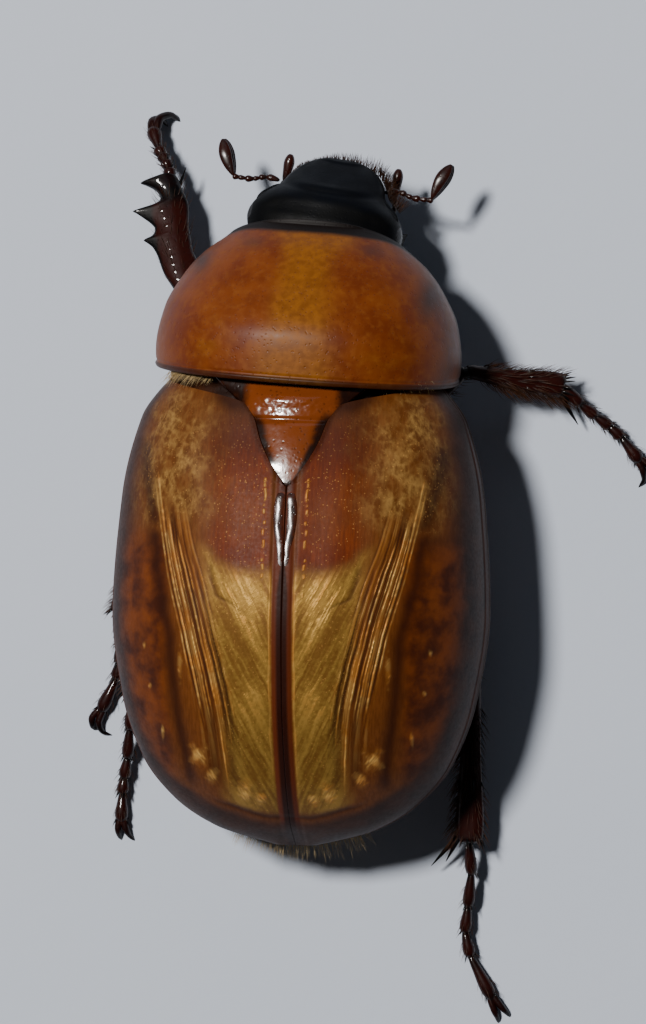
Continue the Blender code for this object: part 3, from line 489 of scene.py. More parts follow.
class Finish:
    """A procedural finish round one Principled shader. Sizes and depths are in millimetres."""

    def __init__(self, name, **settings):
        self.material = bpy.data.materials.new(name)
        self.material.use_nodes = True
        self.tree = self.material.node_tree
        self.shader = self.tree.nodes["Principled BSDF"]
        self.coordinates = self.add("ShaderNodeTexCoord").outputs["Object"]
        for key, value in settings.items():
            self.shader.inputs[key.replace("_", " ")].default_value = value

    def add(self, kind, **values):
        node = self.tree.nodes.new(kind)
        for key, value in values.items():
            setattr(node, key, value)
        return node

    def feed(self, socket, value):
        if isinstance(value, bpy.types.NodeSocket):
            self.tree.links.new(value, socket)
        elif isinstance(value, tuple) and len(value) == 3 and socket.type == "RGBA":
            socket.default_value = (*value, 1.0)
        else:
            socket.default_value = value

    def attribute(self, name, output="Fac"):
        return self.add("ShaderNodeAttribute", attribute_name=name).outputs[output]

    def channels(self, colour):
        split = self.add("ShaderNodeSeparateColor")
        self.feed(split.inputs["Color"], colour)
        return [split.outputs[channel] for channel in ("Red", "Green", "Blue")]

    def masks(self, name):
        """The three masks that a colour attribute holds."""
        return self.channels(self.attribute(name, "Color"))

    def noise(self, size, detail=3.0, stretch=(1.0, 1.0, 1.0), roughness=0.55):
        """Noise with spots about as large as size."""
        place = self.add("ShaderNodeMapping")
        self.feed(place.inputs["Vector"], self.coordinates)
        self.feed(place.inputs["Scale"], stretch)
        texture = self.add("ShaderNodeTexNoise")
        self.feed(texture.inputs["Vector"], place.outputs["Vector"])
        for key, value in (("Scale", 1.0 / (size * MM)), ("Detail", detail), ("Roughness", roughness)):
            self.feed(texture.inputs[key], value)
        return texture.outputs["Fac"]

    def cells(self, spacing, output="Distance", feature="F1"):
        texture = self.add("ShaderNodeTexVoronoi", feature=feature)
        self.feed(texture.inputs["Vector"], self.coordinates)
        self.feed(texture.inputs["Scale"], 1.0 / (spacing * MM))
        return texture.outputs[output]

    def pits(self, spacing, radius=0.35):
        """1 away from small pits and 0 in them."""
        return self.span(self.cells(spacing), 0.05, radius)

    def glitter(self, spacing, share):
        """1 in a small share of the cells, 0 elsewhere."""
        chance = self.channels(self.cells(spacing, "Color"))[0]
        return self.span(chance, 1.0 - share, 1.0 - 0.5 * share)

    def span(self, value, low, high, start=0.0, end=1.0):
        """Goes smoothly from start to end while value goes from low to high."""
        node = self.add("ShaderNodeMapRange", interpolation_type="SMOOTHSTEP")
        keys = ("Value", "From Min", "From Max", "To Min", "To Max")
        for key, number in zip(keys, (value, low, high, start, end)):
            self.feed(node.inputs[key], number)
        return node.outputs["Result"]

    def math(self, kind, one, two):
        node = self.add("ShaderNodeMath", operation=kind)
        self.feed(node.inputs[0], one)
        self.feed(node.inputs[1], two)
        return node.outputs["Value"]

    def blend(self, factor, one, two):
        """One colour over the other, by type, as the node keeps sockets for other kinds of data."""
        node = self.add("ShaderNodeMix", data_type="RGBA")
        first, second = [socket for socket in node.inputs if socket.type == "RGBA"]
        self.feed(next(s for s in node.inputs if s.name == "Factor" and s.type == "VALUE"), factor)
        self.feed(first, one)
        self.feed(second, two)
        return next(socket for socket in node.outputs if socket.type == "RGBA")

    def mottle(self, value, low, high, colours):
        """The first colour where value is below low, the second where it is above high."""
        return self.blend(self.span(value, low, high), *colours)

    def bump(self, height, depth):
        node = self.add("ShaderNodeBump")
        self.feed(node.inputs["Strength"], 1.0)
        self.feed(node.inputs["Distance"], depth * MM)
        self.feed(node.inputs["Height"], height)
        self.feed(self.shader.inputs["Normal"], node.outputs["Normal"])

    def paint(self, colour, roughness, metal=0.0):
        for key, value in (("Base Color", colour), ("Roughness", roughness), ("Metallic", metal)):
            self.feed(self.shader.inputs[key], value)
        return self.material


# Wing case colours: two where noise blends between them, one where the colour is even
GROUND = (0.1, 0.028, 0.004), (0.135, 0.04, 0.007)
FLANK = (0.045, 0.009, 0.002), (0.15, 0.035, 0.004)
EMBER = (0.085, 0.01, 0.001), (0.17, 0.028, 0.002)
EMBER_SHADE = (0.08, 0.011, 0.002)
LACE = (0.1, 0.034, 0.006), (0.29, 0.155, 0.042)
OLIVE_SILK = (0.16, 0.082, 0.014), (0.31, 0.175, 0.036)
# Gold of the folded wings and of the dots by the seam, bright with painted highlights on folds and crumples
GOLD_AND_GLINT = (0.9, 0.52, 0.14), (0.85, 0.36, 0.07)
# Smoky flanks and apex: partly the shells' own smoky colour, partly painted shade and reflection where they
# turn from the light
SMOKY_SHADE = (0.018, 0.006, 0.004), (0.042, 0.014, 0.008)
# Painted glints: colour of the bright specks over the ember, olive and lace zones
GLINT_SPECKLE = (0.6, 0.3, 0.08)
# Dark bands of the folded wings, and painted shade in the gaps between the fan's folds
DARK_BAND_AND_FOLD_SHADE = (0.022, 0.004, 0.001)
RIM_RED = (0.085, 0.014, 0.004)
# The dark seam, and painted shadow at the wing cases' base under the pronotum's hind edge
SEAM_AND_SHADOW_DARK = (0.02, 0.004, 0.0015)


def elytra_finish():
    """Clear chitin over golden folded wings: the colours follow the zones, stripes and edges."""
    f = Finish("elytra_gold", Specular_IOR_Level=0.13)
    net, ember, olive = f.masks("zones")
    gold_and_glint, band, seam = f.masks("stripes")
    smoke_and_shade, outer, rim = f.masks("edges")
    grain = f.noise(0.1, 4.0)
    cloud = f.noise(0.7, 3.0)
    streak = f.noise(0.06, 3.0, (1.0, 0.12, 0.3))
    crust = f.noise(0.28, 5.0, (1.0, 0.5, 1.0), 0.7)
    lace = f.span(f.cells(0.3, feature="DISTANCE_TO_EDGE"), 0.0, 0.22, 0.08, 0.0)
    silk = f.math("ADD", f.math("MULTIPLY", f.attribute("silk"), 0.8), f.math("MULTIPLY", grain, 0.2))
    warm = f.mottle(streak, 0.15, 0.85, EMBER)
    layers = [
        (outer, f.mottle(cloud, 0.3, 0.7, FLANK)),
        (ember, f.blend(f.span(cloud, 0.35, 0.65, 0.0, 0.5), warm, EMBER_SHADE)),
        (net, f.mottle(f.math("ADD", crust, lace), 0.38, 0.72, LACE)),
        (olive, f.mottle(silk, 0.3, 0.68, OLIVE_SILK)),
        (band, DARK_BAND_AND_FOLD_SHADE),
        (rim, RIM_RED),
        (gold_and_glint, f.mottle(cloud, 0.4, 0.6, GOLD_AND_GLINT)),
    ]
    # Painted glints: a few bright cells over the ember, olive and lace zones
    painted_glints = f.math("MULTIPLY", f.glitter(0.03, 0.03), f.math("MAXIMUM", ember, f.math("MAXIMUM", olive, net)))
    layers += [
        (f.math("MULTIPLY", painted_glints, 0.4), GLINT_SPECKLE),
        (smoke_and_shade, f.mottle(cloud, 0.3, 0.7, SMOKY_SHADE)),
        (seam, SEAM_AND_SHADOW_DARK),
    ]
    colour = f.mottle(streak, 0.3, 0.7, GROUND)
    for mask, paint in layers:
        colour = f.blend(mask, colour, paint)
    f.bump(f.math("ADD", f.attribute("relief"), f.math("MULTIPLY", grain, 0.08)), 0.035)
    polish = f.math("MULTIPLY", f.attribute("gloss"), 0.34)
    rough = f.math("SUBTRACT", f.span(grain, 0.2, 0.8, 0.46, 0.6), polish)
    shine = f.math("MULTIPLY", f.math("MAXIMUM", olive, gold_and_glint), 0.38)
    return f.paint(colour, rough, shine)


def pronotum_finish():
    f = Finish("pronotum_orange", Specular_IOR_Level=0.22)
    middle, patch, edge = f.masks("zones")
    cloud = f.noise(0.9, 4.0)
    fleck = f.noise(0.22, 4.0)
    dots = f.pits(0.13, 0.3)
    colour = f.mottle(cloud, 0.35, 0.65, ((0.12, 0.021, 0.002), (0.17, 0.038, 0.003)))
    layers = [
        (middle, f.mottle(fleck, 0.3, 0.7, ((0.165, 0.05, 0.004), (0.23, 0.075, 0.006)))),
        (f.span(fleck, 0.45, 0.75, 0.0, 0.3), (0.25, 0.08, 0.008)),
        (f.span(dots, 0.0, 1.0, 0.35, 0.0), (0.06, 0.01, 0.002)),
        # Dark spots, and the smoky margins with their painted shade
        (patch, (0.028, 0.014, 0.012)),
        (edge, (0.004, 0.0015, 0.001)),
    ]
    for mask, paint in layers:
        colour = f.blend(mask, colour, paint)
    f.bump(f.math("ADD", dots, f.math("MULTIPLY", fleck, 0.4)), 0.005)
    rough = f.math("MAXIMUM", f.span(fleck, 0.2, 0.8, 0.4, 0.52), f.math("MULTIPLY", edge, 0.56))
    return f.paint(colour, rough)


# Chitin finishes: light colour, dark colour, size of the clouds, spacing of the pits, depth of the relief,
# lowest and highest roughness, specular, and the weight and roughness of the coat
CHITINS = {
    "leg_chitin": (
        (0.024, 0.0032, 0.0017), (0.0012, 0.0008, 0.0008), 0.4, 0.12, 0.004, (0.42, 0.56), 0.1, 0.32, 0.06,
    ),
    "feeler_chitin": (
        (0.03, 0.0055, 0.003), (0.004, 0.0015, 0.001), 0.2, 0.1, 0.003, (0.22, 0.34), 0.45, 0.0, 0.1,
    ),
    # head_black's light colour is a painted blue-grey reflection
    "head_black": (
        (0.0016, 0.0024, 0.0046), (0.0004, 0.0004, 0.0005), 0.6, 0.09, 0.003, (0.45, 0.58), 0.1, 0.0, 0.1,
    ),
    "scutellum_amber": (
        (0.17, 0.036, 0.004), (0.012, 0.003, 0.001), 0.4, 0.16, 0.003, (0.16, 0.26), 0.5, 0.5, 0.06,
    ),
    "underside_brown": (
        (0.11, 0.034, 0.01), (0.03, 0.009, 0.004), 0.6, 0.18, 0.01, (0.34, 0.5), 0.3, 0.0, 0.1,
    ),
    "fold_skin": (
        (0.07, 0.02, 0.005), (0.012, 0.003, 0.001), 0.4, 0.12, 0.01, (0.5, 0.7), 0.2, 0.0, 0.1,
    ),
    "suture_gloss": (
        (0.12, 0.022, 0.004), (0.012, 0.003, 0.0015), 0.3, 0.1, 0.006, (0.26, 0.34), 0.35, 0.7, 0.14,
    ),
}


def chitin(name):
    """Glossy chitin that goes from a light to a dark colour with the tone of each point."""
    light, dark, size, pit, depth, roughness, specular, coat, coat_roughness = CHITINS[name]
    f = Finish(name, Specular_IOR_Level=specular, Coat_Weight=coat, Coat_Roughness=coat_roughness)
    cloud = f.noise(size, 4.0)
    dots = f.pits(pit)
    tone = f.math("ADD", f.attribute("tone"), f.span(cloud, 0.3, 0.7, -0.15, 0.15))
    colour = f.mottle(tone, 0.0, 1.0, (light, dark))
    colour = f.blend(f.span(dots, 0.0, 1.0, 0.4, 0.0), colour, dark)
    f.bump(f.math("ADD", dots, f.math("MULTIPLY", f.noise(0.08, 3.0), 0.5)), depth)
    return f.paint(colour, f.span(cloud, 0.3, 0.7, *roughness))


def eye_finish():
    f = Finish("eye_black", Specular_IOR_Level=0.25, Coat_Weight=0.2, Coat_Roughness=0.1)
    f.bump(f.span(f.cells(0.05, feature="SMOOTH_F1"), 0.0, 0.7, 1.0, 0.0), 0.008)
    colour = f.blend(f.noise(0.2, 2.0), (0.002, 0.0015, 0.0015), (0.006, 0.004, 0.004))
    return f.paint(colour, f.span(f.noise(0.15, 2.0), 0.3, 0.7, 0.25, 0.4))


def hair_finish(name, root, tip):
    f = Finish(name, Specular_IOR_Level=0.3)
    colour = f.blend(f.attribute("tone"), root, tip)
    colour = f.blend(f.span(f.noise(0.3, 2.0), 0.35, 0.65, 0.0, 0.4), colour, root)
    return f.paint(colour, f.span(f.noise(0.1, 2.0), 0.3, 0.7, 0.35, 0.55))


def floor_finish():
    f = Finish("floor_pale", Specular_IOR_Level=0.2)
    colour = f.blend(f.noise(6.0, 3.0), (0.57, 0.63, 0.74), (0.61, 0.66, 0.76))
    f.bump(f.noise(0.5, 2.0), 0.01)
    return f.paint(colour, f.span(f.noise(3.0, 2.0), 0.3, 0.7, 0.75, 0.9))


# Wing cases

SEAM_HALF = 0.006
ELYTRA_ROOT = -3.62
FAN_OUTER = [
    (-0.9, 4.0), (0.95, 3.66), (2.35, 3.36), (3.2, 3.12), (4.25, 2.88), (5.45, 2.62), (6.4, 2.45), (8.0, 2.3),
]
FAN_INNER = [
    (-0.9, 3.0), (0.95, 2.65), (2.35, 2.2), (3.2, 1.95), (4.25, 1.7), (5.45, 1.42), (6.4, 1.25), (8.0, 1.15),
]
# Bright folds, painted highlights along the folded wings' pleats: place across the fan, half width, strength,
# first and last y
PLEATS = [
    (0.97, 0.018, 0.5, -0.6, 5.6), (0.86, 0.024, 1.0, -0.9, 6.2), (0.79, 0.014, 0.5, 0.6, 6.0),
    (0.68, 0.02, 0.9, 0.3, 6.6), (0.6, 0.014, 0.6, 1.0, 6.4), (0.47, 0.02, 0.75, 0.9, 8.4),
    (0.37, 0.014, 0.45, 1.2, 7.0), (0.24, 0.016, 0.4, 1.5, 7.2), (0.08, 0.016, 0.35, 1.5, 6.8),
]
# Dark bands: their middle line as (y, x) points, half width, strength, first and last y
BANDS = [
    ([(0.3, 4.0), (2.0, 3.7), (4.0, 3.3), (6.0, 3.1), (8.4, 2.75)], 0.2, 0.8, 0.6, 8.4),
    ([(-2.2, 4.3), (-1.0, 4.25), (0.3, 3.95), (1.2, 3.75)], 0.22, 0.75, -1.9, 1.0),
    ([(2.0, 2.55), (4.0, 2.0), (5.4, 1.75), (7.0, 1.55), (8.5, 1.5)], 0.16, 0.35, 3.6, 8.4),
    ([(1.4, 2.2), (2.6, 1.95), (3.0, 1.3), (3.4, 0.85)], 0.1, 0.45, 1.5, 3.4),
    ([(4.6, 2.45), (5.6, 2.2), (6.6, 2.05), (8.2, 2.0)], 0.18, 0.6, 4.8, 8.3),
]
SUTURE_HALF_WIDTH = [
    (-0.45, 0.06), (-0.2, 0.13), (0.3, 0.175), (0.8, 0.15), (1.4, 0.09), (2.6, 0.05), (5.2, 0.04),
]
SUTURE_LIFT = [(-0.45, -0.04), (-0.1, 0.03), (0.7, 0.035), (1.3, 0.02), (2.2, 0.0), (5.2, -0.05)]
# Painted highlights on the crumpled wings: x, y, half width, how much longer than wide
GLINTS = [
    (2.97, 4.65, 0.09, 4.5), (2.5, 7.35, 0.3, 1.2), (2.1, 7.9, 0.22, 1.2), (1.2, 8.25, 0.3, 1.0),
    (0.8, 8.5, 0.18, 1.5), (4.1, 4.2, 0.06, 1.8), (3.95, 5.35, 0.05, 1.5), (3.6, 6.7, 0.05, 4.0),
]


def band_mask(x, y, band):
    points, width, strength, start, end = band
    return strength * bell(x, curve(points, y), width) * step(y, start, start + 0.5) * fall(y, end - 0.5, end)


def fan_folds(x, y, warp):
    """The folds of the fan, bright with painted highlights, and the share of the fan's width at which each
    point lies.
    """
    inner, outside = curve(FAN_INNER, y), curve(FAN_OUTER, y)
    fan = (x + 0.05 * warp - inner) / (outside - inner)
    folds = []
    for number, (place, width, strength, start, end) in enumerate(PLEATS):
        broken = 0.4 + 0.6 * step(noise(0.0 * y, y * 2.2, 30 + number), 0.25, 0.65)
        broken = broken * (0.7 + 0.6 * step(noise(0.0 * y, y * 9.0, 60 + number), 0.4, 0.8))
        line = bell((fan - place) * (outside - inner), 0.0, width) * step(y, start, start + 0.8)
        folds.append(1.15 * strength * broken * line * fall(y, end - 1.4, end))
    return most(*folds), fan


def seam_gold(x, y):
    """The row of golden dots beside the seam, and the thin golden line that runs on behind them."""
    dots = bell(x, 0.6 + 0.02 * np.sin(9.0 * y), 0.022) * step(noise(0.0 * y, y * 17.0, 41), 0.45, 0.75)
    dots = 0.7 * dots * step(y, -1.0, -0.6) * fall(y, 2.2, 3.0)
    line = bell(x, 0.35 + 0.012 * np.sin(4.0 * y), 0.022) * step(y, 1.6, 2.4) * fall(y, 6.0, 8.6)
    return most(dots, 0.5 * line * (0.4 + 0.6 * noise(0.0 * y, y * 3.0, 43)))


# Painted highlights in crumpled patches of the folded wings
def glints(x, y):
    ragged = 1.6 * (fractal(x * 4.0, y * 4.0, 57) - 0.5)
    crumple = 0.3 + 0.7 * step(fractal((x + 0.8 * y) * 14.0, (y - x) * 4.0, 51, 3), 0.4, 0.75)
    spots = [
        fall(np.hypot((x - gx) / size, (y - gy) / (stretch * size)) + ragged, 0.0, 1.4)
        for gx, gy, size, stretch in GLINTS
    ]
    return 0.6 * most(*spots) * crumple


def elytron_masks(x, y, share, edge):
    """Colour masks and relief of a wing case.

    x is the distance to the seam, share the place on its girth and edge the distance to the scutellum.
    """
    warp = fractal(x * 1.3, y * 1.3, 5) - 0.5
    wx, wy = x + 0.25 * warp, y + 0.35 * warp
    tail = y + 0.11 * x**2 + 0.15 * warp

    veins = fractal(x * 2.6, y * 1.9, 11, 4)
    net = step(wx, 1.3, 2.4) * fall(wy, -0.1, 1.2) * fall(share, 0.6, 0.75) * step(wy, -3.3, -2.6)
    net = net * (0.25 + 0.75 * step(veins, 0.32, 0.68)) * (0.45 + 0.55 * step(wx, 2.2, 3.0))
    net = net * (1.0 - 0.6 * step(wx, 4.0, 4.5))

    lower = 1.85 - 0.28 * np.clip(wx - 0.9, 0, 3) ** 2
    glow = bell(wx, 1.2, 0.75) * bell(wy, 0.3, 0.95)
    haze = step(wx, 0.5, 0.9) * fall(wx, 1.8, 2.7) * step(y, -2.9, -2.4) * fall(wy, -1.7, -0.4)
    ember = step(wx, 0.28, 0.5) * fall(wx, 1.7, 2.7) * fall(wy, lower - 0.25, lower + 0.1)
    ember = ember * step(wy, -3.0, -1.6) * (1.0 - 0.15 * glow)

    inner_fold = curve([(1.0, 2.3), (3.0, 1.9), (4.6, 1.75), (6.3, 1.45), (9.0, 1.6)], y)
    olive = step(x, 0.26, 0.36) * fall(wx, inner_fold - 0.15, inner_fold + 0.5)
    olive = olive * step(wy, lower - 0.1, lower + 0.5) * fall(y + 0.11 * x**2, 8.85, 9.1)
    slant, slope = 0.9 * x + 0.45 * y, y - 1.1 * x
    feather = 0.45 * fractal(slant * 6.0 + 1.2 * warp, slope * 0.6, 21, 2)
    feather = feather + 0.3 * fractal(slant * 24.0 + 2.0 * warp, slope * 0.8, 25, 2)
    feather = feather + 0.25 * fractal(x * 14.0, y * 14.0, 27, 3)

    # The gold mask: the fan's bright folds, their fine lines, the sheen on the olive silk and the crumpled
    # glints are painted highlights; the dots and line by the seam are golden marks
    gold_and_glint, fan = fan_folds(x, y, warp)
    folds = fractal(fan * 20.0, y * 0.4, 33, 2)
    spread = step(fan, -0.05, 0.15) * fall(fan, 0.9, 1.05) * step(y, -0.2, 1.0) * fall(y, 5.5, 8.2)
    # Painted sheen: bright streaks over the olive silk
    shimmer = 0.3 * olive * step(feather, 0.58, 0.7) * bell(x, 1.3, 0.7) * fall(y, 5.0, 7.5)
    fine = 0.2 * spread * step(folds, 0.5, 0.75)
    gold_and_glint = most(gold_and_glint, fine, shimmer, 0.025 * glow * ember, seam_gold(x, y), glints(x, y))

    band = most(*(band_mask(x + 0.12 * warp, y, band) for band in BANDS))
    band = most(band, 0.7 * bell(tail, 9.08, 0.07) * fall(x, 1.6, 2.6))
    rib = bell(share, 0.865, 0.014) * step(y, -2.6, -1.5)
    relief = 0.8 * gold_and_glint + 0.3 * olive * feather + 0.3 * net * veins - 0.4 * band + 0.8 * rib
    # Painted shade in the gaps between the fan's folds
    band = most(band, 0.75 * spread * step(folds, 0.5, 0.3))

    outer = step(wx, 3.1, 3.6) * step(y, 0.4, 1.6) * fall(y, 7.4, 8.6)
    # Smoky flanks and apex: partly own colour, partly painted shade and reflection on the sides turned from
    # the light
    smoke_from = curve([(-3.3, 0.6), (0.0, 0.53), (3.0, 0.55), (6.0, 0.54), (9.0, 0.42)], y)
    smoke_full = curve([(-3.3, 0.78), (0.0, 0.7), (3.0, 0.7), (6.0, 0.7), (9.0, 0.6)], y)
    smoke_and_shade = 0.9 * step(share + 0.06 * warp, smoke_from, smoke_full)
    smoke_and_shade = most(smoke_and_shade, 0.92 * step(tail, 9.08, 9.4), 0.45 * haze) * (1.0 - 0.8 * rib)
    rim = most(step(share, 0.965, 0.985), 0.8 * rib, 0.85 * fall(x, 0.24, 0.32))

    rear = step(y, 1.2, 2.8)
    # Painted shadow at the wing case's base beside the scutellum, under the pronotum's hind edge; the seam
    # mask carries it
    root = fall(wy + 0.3 * step(x, 1.6, 2.4), -2.8, -2.3) * fall(wx, 1.9, 2.7)
    seam = most(
        fall(x, 0.012 + 0.1 * rear, 0.035 + 0.165 * rear), 0.3 * bell(x, 0.36, 0.04) * (1.0 - rear),
        0.6 * fall(edge, 0.05, 0.3), 0.85 * root,
    )
    return {
        "zones": stacked(net, ember, olive * (0.62 + 0.38 * step(feather, 0.3, 0.6))),
        "stripes": stacked(np.clip(gold_and_glint, 0, 1), band, seam), "edges": stacked(smoke_and_shade, outer, rim),
        "relief": relief, "gloss": 0.6 * fall(edge, 0.1, 0.25), "silk": feather,
    }


def wing_height(x, y):
    """Height of a wing case at a distance x from the seam."""
    theta = arch_angle(x, curve(ELYTRA_HALF_WIDTH, y))
    return arch(theta, 0.0, curve(ELYTRA_WAIST, y), curve(ELYTRA_TOP, y))[1]


def suture_part(side):
    """The glossy rounded edge of a wing case along the seam, wide behind the scutellum and then thin."""
    u, y = np.meshgrid(np.linspace(-1.0, 1.0, 24), np.linspace(-0.45, 5.2, 300))
    half = curve(SUTURE_HALF_WIDTH, y)
    x = SEAM_HALF + 0.012 + half * (1.0 + u)
    lift = curve(SUTURE_LIFT, y) - 1.2 * (half * u) ** 2 + 0.016 * (fractal(x * 4.0, y * 3.0, 91, 2) - 0.5)
    z = wing_height(x, y) + lift - 0.09 * step(np.abs(u), 0.86, 1.0)
    tone = 0.55 + 0.3 * (1.0 - np.abs(u)) - 0.3 * step(u, 0.3, 0.9) * step(y, 1.5, 3.0)
    return *sheet(stacked(side * x, y, z), (0.0, 4.0, 2.0)), tone.ravel()


def elytron_part(side):
    """The left or right wing case as one curved sheet whose seam and rim turn under."""
    u, v = np.meshgrid(np.linspace(-0.03, 1.05, 370), np.linspace(0.0, 1.0, 420))
    inside = np.clip(u, 0.0, 1.0)
    share = 1.0 - (1.0 - v) ** 1.5
    inner_y = ELYTRA_INNER_BASE + (ELYTRA_APEX - ELYTRA_INNER_BASE) * share
    outer_y = ELYTRA_ROOT + (ELYTRA_APEX - 0.02 - ELYTRA_ROOT) * share
    y = inner_y + (outer_y - inner_y) * inside**0.6
    beside = np.where(inner_y > -0.5, SEAM_HALF, curve(SCUTELLUM_HALF_WIDTH, inner_y) - 0.01)
    beside = np.maximum(SEAM_HALF, beside)
    start = arch_angle(beside, curve(ELYTRA_HALF_WIDTH, inner_y))
    theta = start + (EDGE_ANGLE - start) * inside
    width = curve(ELYTRA_HALF_WIDTH, y)
    x, z = arch(theta, width, curve(ELYTRA_WAIST, y), curve(ELYTRA_TOP, y))
    z = z - 0.4 * fall(y - ELYTRA_ROOT + 0.35 * (1.0 - inside), 0.0, 0.45)
    z = z + 0.16 * bell(x, 3.5, 0.7) * bell(y, -1.4, 0.9) + 0.1 * bell(x, 2.6, 0.7) * bell(y, 7.7, 0.6)
    z = z - 0.03 * bell(x, 0.3, 0.07) + 0.01 * np.sin(x * 5.2 + 0.35 * y) * fall(inside, 0.6, 0.8)
    z = z - 0.2 * fall(x, 0.0, 0.5) * step(y, 9.2, 9.95)
    x = x + (0.06 * bell(inside, 0.985, 0.012) + 0.03 * bell(inside, 0.865, 0.012)) * np.sin(theta)
    under_seam = np.clip(-u, 0, 1) / 0.03
    under_rim = np.clip(u - 1.0, 0, 1) / 0.05
    x = x - 0.55 * under_rim * width / 5.4
    z = z - 0.35 * under_seam**2 - 0.1 * np.sin(under_rim * math.pi)
    edge = np.where(y < -0.3, np.maximum(x - beside, 0.0), 1.0)
    masks = elytron_masks(x, y, np.clip(theta / EDGE_ANGLE, 0, 1.0), edge)
    points, faces = sheet(stacked(side * x, y, z), (0.0, 3.0, 3.0))
    masks = {key: values.reshape(len(points), -1).squeeze() for key, values in masks.items()}
    return (points, faces, 0.0), masks


# Pronotum, scutellum and the folds between the shells

def pronotum_part():
    u, v = np.meshgrid(np.linspace(-1.03, 1.03, 260), np.linspace(-0.05, 1.05, 190))
    across, down = np.clip(u, -1, 1), np.clip(v, 0, 1)
    theta = across * EDGE_ANGLE
    hind = -3.42 - 0.4 * across**2
    front = -8.12 + 0.64 * across**2
    length = hind - front
    y = front + length * down
    waist = curve(PRONOTUM_WAIST, y)
    x, z = arch(theta, curve(PRONOTUM_HALF_WIDTH, y), waist, curve(PRONOTUM_TOP, y))
    to_front, to_hind, to_side = down * length, (1.0 - down) * length, (1.0 - np.abs(across)) * 6.5
    bead = bell(to_hind, 0.04, 0.05) + 0.2 * bell(to_front, 0.04, 0.05) + 0.8 * bell(to_side, 0.08, 0.06)
    groove = bell(to_hind, 0.14, 0.04) + 0.2 * bell(to_front, 0.2, 0.1) + 0.6 * bell(to_side, 0.22, 0.06)
    lift = 0.035 * np.minimum(bead, 1.0) - 0.02 * np.minimum(groove, 1.0)
    x, z = x + lift * np.sin(theta), z + lift * np.cos(theta)
    under_hind, under_front = np.clip(v - 1.0, 0, 1) / 0.05, np.clip(-v, 0, 1) / 0.05
    under_side = np.clip(np.abs(u) - 1.0, 0, 1) / 0.03
    y = y + 0.06 * np.sin(under_hind * math.pi) - 0.03 * np.sin(under_front * math.pi)
    shrink = 1.0 - 0.1 * (under_hind**2 + under_front**2) - 0.1 * under_side
    x, z = x * shrink, waist + (z - waist) * shrink - 0.1 * np.sin(under_side * math.pi)

    cloud = fractal(x * 0.9 + 7.0, y * 0.9, 61)
    band = 0.62 + 0.45 * step(y, -5.6, -3.6) + 0.35 * fall(y, -7.9, -7.0)
    middle = fall(np.abs(x + 0.1) + 0.9 * (cloud - 0.5), band - 0.3, band + 0.7)
    smudge = bell(np.abs(x), 2.5, 0.55) * bell(y, -4.5, 0.5)
    smudge = smudge * step(fractal(x * 2.6, y * 2.6, 67, 4), 0.42, 0.68)
    spots = most(
        bell(x, 3.15, 0.35) * bell(y, -6.75, 0.35), bell(x, -3.55, 0.3) * bell(y, -6.1, 0.6),
        0.5 * bell(np.abs(x + 0.1), 1.7, 0.35) * bell(y, -7.35, 0.2),
    )
    # Smoky margins: partly own colour, partly painted shade on the sides that turn down from the light
    smoke_and_shade = 0.75 * fall(to_side + 0.9 * (cloud - 0.5), 0.1, 1.0)
    lip = 0.12 + 0.16 * fall(np.abs(x + 0.2), 0.8, 2.4) + 0.06 * (cloud - 0.5)
    edge = most(0.7 * fall(to_hind, 0.08, 0.14), 0.7 * fall(to_side, 0.06, 0.16))
    edge = most(edge, fall(to_front, lip, lip + 0.16))
    zones = stacked(most(middle, 0.55 * smudge), most(smoke_and_shade, 0.8 * spots), edge).reshape(-1, 3)
    points, faces = sheet(stacked(x, y, z), (0.0, -5.5, 3.0))
    return (turned(points, PRONOTUM_YAW, PRONOTUM_PIVOT), faces, 0.0), {"zones": zones}


def scutellum_part():
    """The amber plate between the wing cases, its rear half a raised triangle with dark edges."""
    u, v = np.meshgrid(np.linspace(-1.08, 1.08, 90), np.linspace(0.0, 1.0, 150))
    across, aside = np.clip(u, -1, 1), np.abs(np.clip(u, -1, 1))
    y = -3.6 + 3.12 * v
    shoulder, point = [(-3.6, 2.35), (-3.25, 2.0), (-2.9, 1.6)], [(-0.55, 0.14), (-0.47, 0.05)]
    half = curve(shoulder + SCUTELLUM_HALF_WIDTH[2:-1] + point, y)
    dome = bell(y, -2.95, 0.25)
    round_off = (0.05 + 0.1 * fall(y, -1.6, -1.0) + 0.12 * dome) * half * across**2
    z = curve([(-3.6, 7.3)] + SCUTELLUM_TOP, y) - round_off + 0.11 * dome - 0.05 * bell(y, -2.35, 0.08)
    under = np.clip(np.abs(u) - 1.0, 0, 1) / 0.08
    wrinkle = fractal(across * half * 9.0, y * 9.0, 81) - 0.5
    z = z - 0.4 * under + (0.03 * bell(y, -2.8, 0.25) + 0.003) * wrinkle
    side = step(aside + 0.12 * (fractal(across * 3.0, y * 3.0, 83) - 0.5), 0.5, 0.92)
    # Darker: the front corners as painted shadow under the pronotum's hind edge; the plate's own dark edges,
    # groove, tip and browner triangle
    dark = most(
        0.95 * side * step(y, -2.8, -2.2), 0.2 * bell(y, -2.35, 0.06), 0.9 * step(y, -0.72, -0.55),
        0.92 * step(aside * half, 1.05, 1.5) * fall(y, -2.6, -2.2), 0.12 * step(y, -2.3, -2.0),
    )
    return *sheet(stacked(across * half * (1.0 + 0.05 * under), y, z), (0.0, -2.0, 5.0)), dark.ravel()


